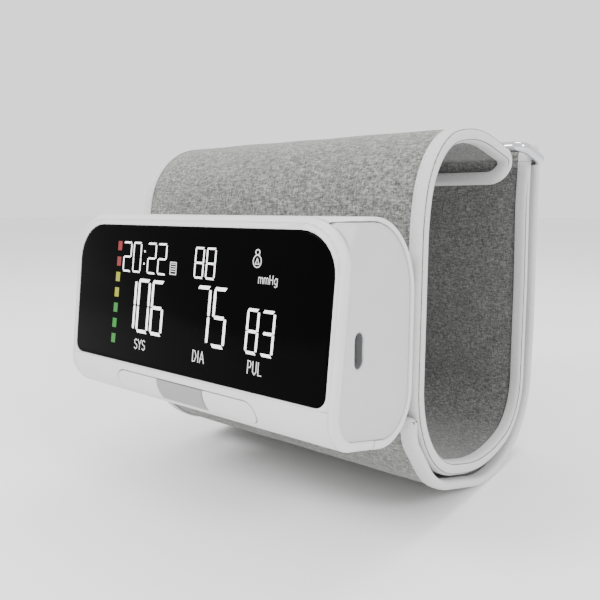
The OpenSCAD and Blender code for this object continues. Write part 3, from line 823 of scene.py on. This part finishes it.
def housing():
    top = shell_piece("front_shell_top", HOUSING, TOP_START, TOP_SEAM - SEAM_GAP)
    plate = bezel()
    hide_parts("front_shell")
    rear = shell_piece("rear_housing", HOUSING, TOP_SEAM + SEAM_GAP, BOTTOM_SEAM - SEAM_GAP)
    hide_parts("rear_shell")
    end_panel(-1, "left_end_cap", "left_end_panel", hole=False)
    end_panel(1, "right_end_cap", "right_end_panel", hole=True)


def lens():
    """The display's black lens, with a fine rounded edge."""
    skin = Skin()
    edge = 0.35
    thickness = 1.4
    sunk = 0.12

    def loop(inset, depth):
        flat = round_rect(-LENS_W / 2, LENS_W / 2, 0, LENS_H, LENS_R, inset=inset)
        return [on_face(p.x, p.y, -depth - sunk) for p in flat]

    rows = [loop(0, thickness)]
    rows += [loop(edge * across, edge * down) for across, down in quarter(4)]
    skin.solid(rows)
    piece = skin.piece("lens", LENS)
    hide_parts("display_lens")


def keys():
    """Three keys that follow the rounded edge; the outer two have round ends."""
    half = KEYS_W / 2
    middle = START_KEY_W / 2
    gap = 0.12
    end_r = KEYS_H / 2
    small = 0.25
    edge = 0.3
    proud = 0.1
    skirt = 2.2                                      # depth of a key's side
    loops = [(0.0, skirt)] + [(edge * across, edge * down) for across, down in quarter(4)]
    loops += [(edge + (KEYS_H / 2 - edge - 0.03) * i / 6, 0.0) for i in range(1, 7)]
    layout = {
        "key_left": (-half, -middle - gap, (end_r, small, small, end_r), KEY_WHITE, "white_shell"),
        "key_start": (-middle + gap, middle - gap, (small,) * 4, KEY_GREY, "start_key"),
        "key_right": (middle + gap, half, (small, end_r, end_r, small), KEY_WHITE, "white_shell"),
    }
    for name, (x0, x1, radii, finish, slot) in layout.items():
        skin = Skin()
        rows = []
        for inset, depth in loops:
            flat = round_rect(x0, x1, -KEYS_H / 2, KEYS_H / 2, radii, inset=inset)
            rows.append([on_keys(p.x, p.y, proud - depth) for p in flat])
        skin.solid(rows)
        piece = skin.piece(name + "_cap", finish, body=name, weld=0.01)
        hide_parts(name)


def port():
    """The charging port: a grey liner behind the slot, with a dark tongue in it."""
    centre = Vector((PORT_Y, PORT_Z))
    up = Vector((0, 1))
    mouth = HALF_W - 1.7
    depth = 6.0
    wall = 0.35
    inner_l, inner_w = 4.85, 1.95                    # half the cup's length and width
    tongue_l, tongue_w = 3.2, 0.4                    # and the tongue's
    cup = Skin()
    rows = []
    for grow, x in ((wall, mouth - depth), (wall, mouth - 0.1), (wall - 0.1, mouth), (0.0, mouth - 0.1),
                    (0.0, mouth - depth + wall)):
        loop = pill_loop(centre, up, 60, inner_l + grow, inner_w + grow)
        rows.append([in_frame(x, p.x, p.y) for p in loop])
    cup.solid(rows)
    cup.piece("port_cup", PORT_GREY)
    tongue = Skin()
    rows = []
    for inset, x in ((0.0, mouth - depth + wall), (0.0, mouth - 2.6), (0.15, mouth - 2.4)):
        flat = round_rect(-tongue_w, tongue_w, -tongue_l, tongue_l, [0.3] * 4,
                          inset=inset, steps=3, side_steps=3)
        rows.append([in_frame(x, PORT_Y + p.x, PORT_Z + p.y) for p in flat])
    tongue.solid(rows)
    tongue.piece("port_tongue", DARK)


# ---- Figures on the display ----

ITALIC = math.tan(math.radians(1.5))             # the figures lean a little to the right
GLOW = glowing("display_white", (1.0, 1.0, 1.0), 3.2)
GLOW_SOFT = glowing("display_label", (0.9, 0.9, 0.9), 1.8)
RED = glowing("display_red", (1.0, 0.0, 0.004), 0.42)
YELLOW = glowing("display_yellow", (0.80, 0.85, 0.0), 0.75)
GREEN = glowing("display_green", (0.0, 0.9, 0.02), 0.42)
GLOW_HEIGHT = 0.05
SEGMENTS = {
    "0": "abcdef", "1": "bc", "2": "abged", "3": "abgcd", "4": "fgbc",
    "5": "afgcd", "6": "afgedc", "7": "abc", "8": "abcdefg", "9": "abcdfg",
}


def plate(skin, corners):
    """A thin flat plate on the lens. Its corners are given upright, and lean with the italics here."""
    lean = [(x + ITALIC * y, y) for x, y in corners]
    bottom = skin.row([on_face(x, y, -0.1) for x, y in lean])
    top = skin.row([on_face(x, y, -0.12 + GLOW_HEIGHT) for x, y in lean])
    skin.bridge(bottom, top, closed=True)
    skin.cap(bottom)
    skin.cap(top)


def block(skin, x0, x1, y0, y1):
    """A rectangular plate."""
    plate(skin, [(x0, y0), (x1, y0), (x1, y1), (x0, y1)])


def digit(skin, value, x, y, w, h, stroke):
    """One seven-segment figure whose lower left corner is at x, y."""
    g = stroke * 0.16
    s = stroke
    mid = h / 2
    upright = {"f": (0, mid, h), "b": (w - s, mid, h), "e": (0, 0, mid), "c": (w - s, 0, mid)}
    level = {"a": h - s, "g": mid - s / 2, "d": 0}
    x -= ITALIC * y
    for name in SEGMENTS[value]:
        if name in level:
            low = level[name]
            cut = s * 0.45
            shape = [(cut + s * 0.55, low), (w - s - g * 2, low), (w - s * 0.9, low + s / 2),
                     (w - s * 1.05, low + s), (s * 1.05 + g, low + s), (s * 0.8, low + s / 2)]
            if name == "a":
                shape = [(s * 0.1, low), (w - s * 1.3, low), (w - s * 0.6, low + s), (s * 0.7, low + s)]
            if name == "d":
                shape = [(s * 1.1, low), (w - s * 0.4, low), (w - s * 1.1, low + s), (s * 0.4, low + s)]
        else:
            left, low, high = upright[name]
            tip = s * 0.55
            outer_low = low + g + (s * 0.9 if low == 0 else 0)
            outer_high = high - g - (s * 0.9 if high == h else 0)
            shape = [(left + s * 0.15, outer_low), (left + s * 0.85, outer_low),
                     (left + s * 0.95, outer_low + tip), (left + s * 0.95, outer_high - tip),
                     (left + s * 0.85, outer_high), (left + s * 0.15, outer_high),
                     (left + s * 0.05, outer_high - tip), (left + s * 0.05, outer_low + tip)]
        plate(skin, [(x + a, y + b) for a, b in shape])


def number(name, text, x0, x1, y0, y1, stroke, gap):
    """Seven-segment figures that fill the given box on the lens. A colon takes less room."""
    skin = Skin()
    room = {"1": 0.42, ":": 0.36}
    units = sum(room.get(c, 1.0) for c in text)
    height = y1 - y0
    lean = ITALIC * height
    width = (x1 - x0 - lean - gap * (len(text) - 1)) / units
    x = x0
    for c in text:
        w = width * room.get(c, 1.0)
        if c == ":":
            for share in (0.28, 0.68):
                mid = x + w / 2
                low = y0 + height * share
                shift = ITALIC * y0
                block(skin, mid - stroke / 2 - shift, mid + stroke / 2 - shift, low, low + stroke)
        else:
            digit(skin, c, x, y0, w, height, stroke)
        x += w + gap
    skin.piece(name, GLOW)


LETTERS = {      # strokes of generic unit and row labels, on a grid one unit wide and high
    "S": [[(0.9, 0.88), (0.5, 1), (0.1, 0.85), (0.15, 0.6), (0.85, 0.42), (0.92, 0.15), (0.5, 0),
           (0.08, 0.12)]],
    "Y": [[(0, 1), (0.5, 0.5), (1, 1)], [(0.5, 0.5), (0.5, 0)]],
    "D": [[(0.1, 0), (0.1, 1), (0.6, 0.95), (0.95, 0.5), (0.6, 0.05), (0.1, 0)]],
    "I": [[(0.5, 0), (0.5, 1)]],
    "A": [[(0, 0), (0.5, 1), (1, 0)], [(0.2, 0.35), (0.8, 0.35)]],
    "P": [[(0.1, 0), (0.1, 1), (0.7, 0.97), (0.9, 0.75), (0.7, 0.5), (0.1, 0.48)]],
    "U": [[(0.08, 1), (0.1, 0.2), (0.5, 0), (0.9, 0.2), (0.92, 1)]],
    "L": [[(0.15, 1), (0.15, 0), (0.9, 0)]],
    "H": [[(0.1, 0), (0.1, 1)], [(0.9, 0), (0.9, 1)], [(0.1, 0.5), (0.9, 0.5)]],
    "m": [[(0.05, 0), (0.05, 0.7)], [(0.05, 0.6), (0.3, 0.72), (0.5, 0.55), (0.5, 0)],
          [(0.5, 0.55), (0.75, 0.72), (0.95, 0.55), (0.95, 0)]],
    "g": [[(0.85, 0.7), (0.85, -0.15), (0.5, -0.3), (0.15, -0.2)],
          [(0.85, 0.55), (0.5, 0.72), (0.15, 0.5), (0.15, 0.2), (0.5, 0), (0.85, 0.15)]],
}
LETTER_WIDTHS = {"I": 0.35, "m": 1.25}


def stroke_line(skin, points, width):
    """A line of even width through the points, as overlapping thin plates."""
    for (ax, ay), (bx, by) in zip(points, points[1:]):
        a = Vector((ax, ay))
        b = Vector((bx, by))
        along = (b - a).normalized()
        side = Vector((-along.y, along.x)) * width / 2
        a -= along * width * 0.3
        b += along * width * 0.3
        corners = [a - side, b - side, b + side, a + side]
        plate(skin, [(c.x - ITALIC * c.y, c.y) for c in corners])


def label(name, text, x0, x1, y0, y1, width):
    skin = Skin()
    units = sum(LETTER_WIDTHS.get(c, 1.0) for c in text)
    gap = 0.22
    unit = (x1 - x0) / (units + gap * (len(text) - 1))
    x = x0
    for c in text:
        w = unit * LETTER_WIDTHS.get(c, 1.0)
        for line in LETTERS[c]:
            stroke_line(skin, [(x + a * w, y0 + b * (y1 - y0)) for a, b in line], width)
        x += w + unit * gap
    skin.piece(name, GLOW_SOFT)


def level_bars():
    """The row of coloured bars that grades the reading, green at the bottom to red at the top."""
    colors = [GREEN, GREEN, GREEN, YELLOW, YELLOW, RED, RED]
    first_y = 5.6
    pitch = 5.2
    bar_w = 2.1
    bar_h = 3.1
    x = -34.9
    for i, color in enumerate(colors):
        skin = Skin()
        y = first_y + pitch * i
        block(skin, x, x + bar_w, y, y + bar_h)
        skin.piece(f"level_bar_{i + 1}", color)


def symbols():
    """A small page, and the outline of a head over a body with a mark in it."""
    skin = Skin()
    left, right, low, high = -7.0, -4.3, 30.5, 34.2
    stroke_line(skin, [(left, low), (right, low), (right, high), (left, high), (left, low)], 0.3)
    for share in (0.25, 0.45, 0.65, 0.85):
        y = low + (high - low) * share
        stroke_line(skin, [(left + 0.5, y), (right - 0.5, y)], 0.28)
    middle = 28.8
    head = 38.9
    ring_points = 12
    for cy, radius, squash in ((head, 0.75, 1.0), (36.4, 1.5, 1.15)):
        loop = [(middle + radius * math.cos(math.tau * i / ring_points),
                 cy + squash * radius * math.sin(math.tau * i / ring_points)) for i in range(ring_points + 1)]
        stroke_line(skin, loop, 0.28)
    mark = [(middle - 0.7, 35.6), (middle, 37.2), (middle + 0.7, 35.6)]
    stroke_line(skin, mark + mark[:1], 0.25)
    skin.piece("display_symbols", GLOW_SOFT)


def display():
    number("figures_time", "20:22", -30.9, -8.8, 29.9, 39.9, 0.58, 0.8)
    number("figures_memory", "88", 3.7, 12.9, 30.0, 39.4, 0.58, 0.8)
    number("figures_upper", "106", -25.6, -8.8, 10.5, 28.1, 1.05, 0.7)
    number("figures_lower", "75", 5.7, 18.8, 10.3, 28.1, 1.05, 1.0)
    number("figures_pulse", "83", 26.2, 37.0, 10.5, 23.3, 0.85, 1.0)
    label("label_upper", "SYS", -22.3, -16.8, 5.1, 8.3, 0.28)
    label("label_lower", "DIA", 5.5, 10.5, 5.1, 8.5, 0.28)
    label("label_pulse", "PUL", 27.9, 33.3, 5.1, 8.7, 0.28)
    label("label_unit", "mmHg", 29.7, 36.7, 30.4, 32.8, 0.2)
    level_bars()
    symbols()


# ---- Cuff and strap ----


class Band:
    """A band of cloth that follows a line round the arm: place() takes flat cloth coordinates."""

    def __init__(self, corners, half_width):
        self.path = Path(rounded_line(corners, steps=24), side=-1)
        self.half_width = half_width
        self.length = self.path.length

    def place(self, x, s, d):
        point, outward = self.path.at(s)
        return (x, point.x + outward.x * d, point.y + outward.y * d)


def soft_step(share):
    share = min(1.0, max(0.0, share))
    return share * share * (3 - 2 * share)


def waves(x, s, amplitude):
    """Gentle unevenness of a padded cloth, always the same."""
    return amplitude * (math.sin(x * 0.09 + 1.3) * math.sin(s * 0.11 + 0.4)
                        + 0.5 * math.sin(x * 0.21 + s * 0.17) + 0.35 * math.sin(s * 0.37 - x * 0.05 + 2))


def half_thickness(band, s, half_t, tail):
    """Half a band's thickness at distance s. With a tail, it thins to that towards its end."""
    if tail is None:
        return half_t
    return half_t + (tail - half_t) * soft_step((s - band.length + TAPER_L) / TAPER_L)


def cloth(name, band, side, half_t, crown, start, end, corner_r, material, tail=None):
    """One face of a band as a thin sheet: pressed flat in the binding and crowned between."""
    skin = Skin()
    half_w = band.half_width
    thickness = 0.6
    columns = 56
    far = 99
    under_tape = 1.5                                 # the crown starts this far under the binding
    rise_w = 9                                       # and is full this far from there
    pressed = 0.35                                   # the binding presses the cloth in by this much
    rows = []
    for s in band.path.stops(start, end, 3.0):
        inset = 0.0
        into = s - start
        if corner_r and into < corner_r:
            inset = corner_r - math.sqrt(max(0.0, corner_r**2 - (corner_r - into)**2))
        reach = half_w - inset
        row = []
        for i in range(columns + 1):
            x = -reach + 2 * reach * i / columns
            edge = min(half_w - abs(x), into if corner_r else far)
            lift = soft_step((edge - TAPE_W + under_tape) / rise_w)
            full = half_thickness(band, s, half_t, tail)
            d = full - pressed + lift * (crown + waves(x, s, crown * 0.35))
            row.append(band.place(x, s, side * (d - thickness)))
        rows.append(row)
    skin.rows(rows)
    piece = skin.piece(name, material, weld=0.001)
    face_outward(piece, band)
    thicken(piece, thickness, offset=1.0)
    return piece


def face_outward(piece, band):
    """Turns the skin so that its normals point away from the band's middle line."""
    mesh = piece.data
    face = mesh.polygons[len(mesh.polygons) // 2]
    line = [band.path.at(s)[0] for s in range(0, int(band.length), 2)]

    def off_line(place):
        return min((point - Vector((place.y, place.z))).length for point in line)

    here = face.center / MM
    if off_line(here + face.normal * 0.3) < off_line(here):
        mesh.flip_normals()


def edge_stations(band, start, end, corner_r, round_start):
    """Stations along a band's edge, as (x, s, outward x, outward s): up one side, round the free end
    and down the other."""
    w = band.half_width
    side = []
    first = start + corner_r if round_start else start
    last = end if round_start else end - corner_r
    for s in band.path.stops(first, last, 2.5):
        side.append((w, s, 1.0, 0.0))
    free = first if round_start else last
    towards = -1 if round_start else 1
    if round_start:
        side.reverse()
    steps = 12
    corner = []
    for i in range(1, steps + 1):
        angle = math.pi / 2 * i / steps
        corner.append((w - corner_r + corner_r * math.cos(angle), free + towards * corner_r * math.sin(angle),
                       math.cos(angle), towards * math.sin(angle)))
    across = [(w - corner_r - (w - corner_r) * i / steps, free + towards * corner_r, 0.0, float(towards))
              for i in range(1, steps + 1)]
    half = side + corner + across
    return half + [(-x, s, -ox, os) for x, s, ox, os in reversed(half[:-1])]


def binding_section(half_t):
    """The tape's section as (out, depth): a channel round the cloth's edge, open towards the band."""
    outer = half_t + TAPE_T
    inner = half_t - 0.15                            # its edges are pressed into the cloth
    nose_w = 2.0
    steps = 10
    face = [(-TAPE_W, inner), (-TAPE_W + 0.15, outer - 0.12), (-TAPE_W + 0.5, outer - 0.02),
            (-TAPE_W / 2, outer + 0.03)]
    inside = [(-0.9, inner - 0.5), (-TAPE_W / 2, inner - 0.25)]
    nose = []
    for i in range(steps + 1):
        angle = math.pi / 2 - math.pi * i / steps
        nose.append((TAPE_T - nose_w + nose_w * math.cos(angle), outer * math.sin(angle)))
    other_side = [(out, -depth) for out, depth in face[::-1] + inside[::-1]]
    return face + nose + other_side + [(-0.6, 0)] + inside


def binding(name, band, stations, half_t, node, tail=None):
    skin = Skin()
    rows = []
    for x, s, ox, os in stations:
        section = binding_section(half_thickness(band, s, half_t, tail))
        rows.append([band.place(x + ox * out, s + os * out, depth) for out, depth in section])
    skin.solid(rows)
    piece = skin.piece(name, TAPE, sharp=60)
    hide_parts(node)
    return piece


def stitches(name, band, stations, half_t, tail=None):
    """Rows of short stitches near the binding's inner edge, on both faces."""
    skin = Skin()
    pitch = 3.0
    stitch = 2.1
    lead = 0.3                                       # before the first stitch
    radius = 0.2
    flat = 0.8                                       # a stitch is lower than it is wide
    sunk = 0.06                                      # and is sunk into the tape
    around = 6
    inset = -TAPE_W + 1.0
    line = [(x + ox * inset, s + os * inset) for x, s, ox, os in stations]
    marks = [0.0]
    for a, b in zip(line, line[1:]):
        marks.append(marks[-1] + math.hypot(b[0] - a[0], b[1] - a[1]))

    def along(distance):
        i = 0
        while i < len(marks) - 2 and distance > marks[i + 1]:
            i += 1
        share = (distance - marks[i]) / max(1e-6, marks[i + 1] - marks[i])
        return [line[i][k] + (line[i + 1][k] - line[i][k]) * share for k in (0, 1)]

    for i in range(int(marks[-1] / pitch)):
        a = along(i * pitch + lead)
        b = along(i * pitch + lead + stitch)
        heading = Vector((b[0] - a[0], b[1] - a[1])).normalized()
        side = Vector((-heading.y, heading.x))
        for face in (1, -1):
            rows = []
            for share, size in ((0.0, 0.15), (0.15, 0.8), (0.5, 1.0), (0.85, 0.8), (1.0, 0.15)):
                x = a[0] + (b[0] - a[0]) * share
                s = a[1] + (b[1] - a[1]) * share
                base = half_thickness(band, s, half_t, tail) + TAPE_T - sunk
                row = []
                for k in range(around):
                    angle = math.tau * k / around
                    out = radius * size * math.cos(angle)
                    up = radius * size * math.sin(angle) * flat
                    row.append(band.place(x + side.x * out, s + side.y * out, face * (base + up)))
                rows.append(row)
            skin.solid(rows)
    piece = skin.piece(name, THREAD, sharp=80)
    return piece


CUFF = Band(CUFF_LINE, HALF_CUFF)
STRAP = Band(STRAP_LINE, HALF_CUFF)


def cuff():
    half_t = CUFF_T / 2
    tail = STRAP_T / 2
    stations = edge_stations(CUFF, 0.0, CUFF.length, FLAP_R, round_start=True)
    edge = binding("cuff_edge_tape", CUFF, stations, half_t, "cuff_binding", tail)
    thread = stitches("cuff_stitching", CUFF, stations, half_t, tail)
    outer = cloth("cuff_cloth", CUFF, 1, half_t, 0.45, 0.4, CUFF.length, FLAP_R, CLOTH, tail)
    inner = cloth("cuff_inner_cloth", CUFF, -1, half_t, 0.55, 0.4, CUFF.length, FLAP_R, LINING, tail)
    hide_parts("cuff_outer_fabric")
    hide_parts("cuff_lining")


def strap():
    half_t = STRAP_T / 2
    stations = edge_stations(STRAP, 0.0, STRAP.length, 2.0, round_start=False)
    edge = binding("strap_edge_tape", STRAP, stations, half_t, "strap_binding")
    thread = stitches("strap_stitching", STRAP, stations, half_t)
    outer = cloth("strap_cloth", STRAP, -1, half_t, 0.2, 0.0, STRAP.length - 0.4, 0, CLOTH)
    inner = cloth("strap_inner_cloth", STRAP, 1, half_t, 0.1, 0.0, STRAP.length - 0.4, 0, LINING)
    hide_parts("strap_outer_fabric")
    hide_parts("strap_lining")


# ---- Ring and its tab ----


def ring():
    """Chrome wire ring: a rounded rectangle of round wire."""
    skin = Skin()
    front = Vector(RING_FRONT)
    rear = Vector(RING_REAR)
    depth = (rear - front).length
    slope = (rear - front).normalized()
    half = box_mm("ring")[1][0] - WIRE_R
    bend = 4.0
    corners = [(-half, 0, bend), (half, 0, bend), (half, depth, bend), (-half, depth, bend)]
    loop = rounded_loop(corners, steps=12)
    rows = []
    around = 20
    for i, p in enumerate(loop):
        before = loop[i - 1]
        after = loop[(i + 1) % len(loop)]
        along = ((after - p).normalized() + (p - before).normalized()).normalized()
        out = Vector((along.y, -along.x))
        row = []
        for k in range(around):
            angle = math.tau * k / around
            x = p.x + out.x * WIRE_R * math.cos(angle)
            v = p.y + out.y * WIRE_R * math.cos(angle)
            up = WIRE_R * math.sin(angle)
            row.append((x, front.x + slope.x * v - slope.y * up, front.y + slope.y * v + slope.x * up))
        rows.append(row)
    skin.rows(rows, closed_row=True, closed=True)
    piece = skin.piece("wire_ring", CHROME, body="ring")
    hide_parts("ring")


def ring_tab():
    """The cloth loop that holds the ring's front bar, sewn down on the cuff."""
    skin = Skin()
    half_w = 56.0
    cloth_t = 0.8
    hug = WIRE_R + 0.32 + cloth_t / 2                # from the bar's middle to the cloth's
    start_y, end_y = 36, 22                          # the tab is sewn down between these
    face = CUFF_T / 2 + 0.55                         # the lower layer's middle, over the cuff's line
    layer = 0.95                                     # and from there to the upper layer's
    top_start = CUFF.path.where(lambda p: p.x < start_y)
    tail_end = CUFF.path.where(lambda p: p.x < end_y)

    def on_cuff(s, d):
        point = CUFF.place(0, s, d)
        return (point[1], point[2])

    low_end = on_cuff(tail_end, face)
    low_start = on_cuff(top_start, face)
    high_end = on_cuff(tail_end, face + layer)
    high_start = on_cuff(top_start, face + layer)
    bar = Vector(RING_FRONT)
    line = [(*low_end, 0), (*low_start, 2)]
    line += [(bar.x - 1.2, bar.y - hug * 1.02, 1.0), (bar.x + hug * 1.25, bar.y - hug * 1.15, hug),
             (bar.x + hug * 1.1, bar.y + hug * 1.05, hug), (bar.x - hug * 0.4, bar.y + hug * 1.05, 2.0)]
    line += [(*high_start, 2), (*high_end, 0)]
    path = Path(rounded_line(line, steps=12), side=1)
    section = tab_section(half_w, cloth_t)
    rows = []
    for s in path.stops(0, path.length, 1.5):
        point, outward = path.at(s)
        rows.append([(x, point.x + outward.x * d, point.y + outward.y * d) for x, d in section])
    skin.solid(rows)
    piece = skin.piece("ring_loop", CLOTH)
    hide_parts("ring_tab")


def tab_section(half_w, thickness):
    """Section of a strip with rounded long edges, as (x, d)."""
    r = thickness / 2
    points = []
    for side in (1, -1):
        for i in range(7):
            angle = math.pi / 2 - math.pi * i / 6
            points.append((side * (half_w - r + r * math.cos(angle)), side * r * math.sin(angle)))
    return points


# ---- Surroundings ----


def floor():
    skin = Skin()
    half = 6000.0
    marks = [-half + 2 * half * i / 8 for i in range(9)]
    skin.rows([[(x, y, 0.0) for x in marks] for y in marks])
    shader = Shader("pale_floor", (0.93, 0.93, 0.93), 0.95, specular=0.1)
    shader.color(shader.ramp(shader.noise(400), [(0.3, (0.92, 0.92, 0.92)), (0.7, (0.94, 0.94, 0.94))]))
    made = skin.piece("floor", shader.material)


def area_light(name, place, target, size, power):
    data = bpy.data.lights.new(name, "AREA")
    data.shape = "DISK"
    data.size = size
    data.energy = power
    made = bpy.data.objects.new(name, data)
    made.location = place
    made.rotation_euler = (Vector(target) - Vector(place)).to_track_quat("-Z", "Y").to_euler()
    bpy.context.scene.collection.objects.link(made)


def studio():
    world = bpy.data.worlds.new("studio")
    world.use_nodes = True
    background = world.node_tree.nodes["Background"]
    background.inputs["Color"].default_value = (1, 1, 1, 1)
    background.inputs["Strength"].default_value = 1.5
    bpy.context.scene.world = world
    middle = (0, 0, 0.06)
    area_light("key_light", (-0.35, -0.8, 0.7), middle, 0.3, 8)
    area_light("side_light", (0.9, -0.25, 0.65), middle, 0.3, 5)
    area_light("top_light", (0.1, 0.25, 1.1), middle, 0.4, 5)


def camera():
    turn = math.radians(37.86)
    down = math.radians(8.58)
    data = bpy.data.cameras.new("camera")
    data.lens = 37.13
    data.sensor_width = 36
    data.clip_start = 0.01
    made = bpy.data.objects.new("camera", data)
    made.location = (0.14734, -0.19854, 0.10730)
    made.rotation_euler = (math.pi / 2 - down, 0, turn)
    bpy.context.scene.collection.objects.link(made)
    bpy.context.scene.camera = made


camera()
studio()
floor()
housing()
lens()
keys()
port()
display()
cuff()
strap()
ring()
ring_tab()
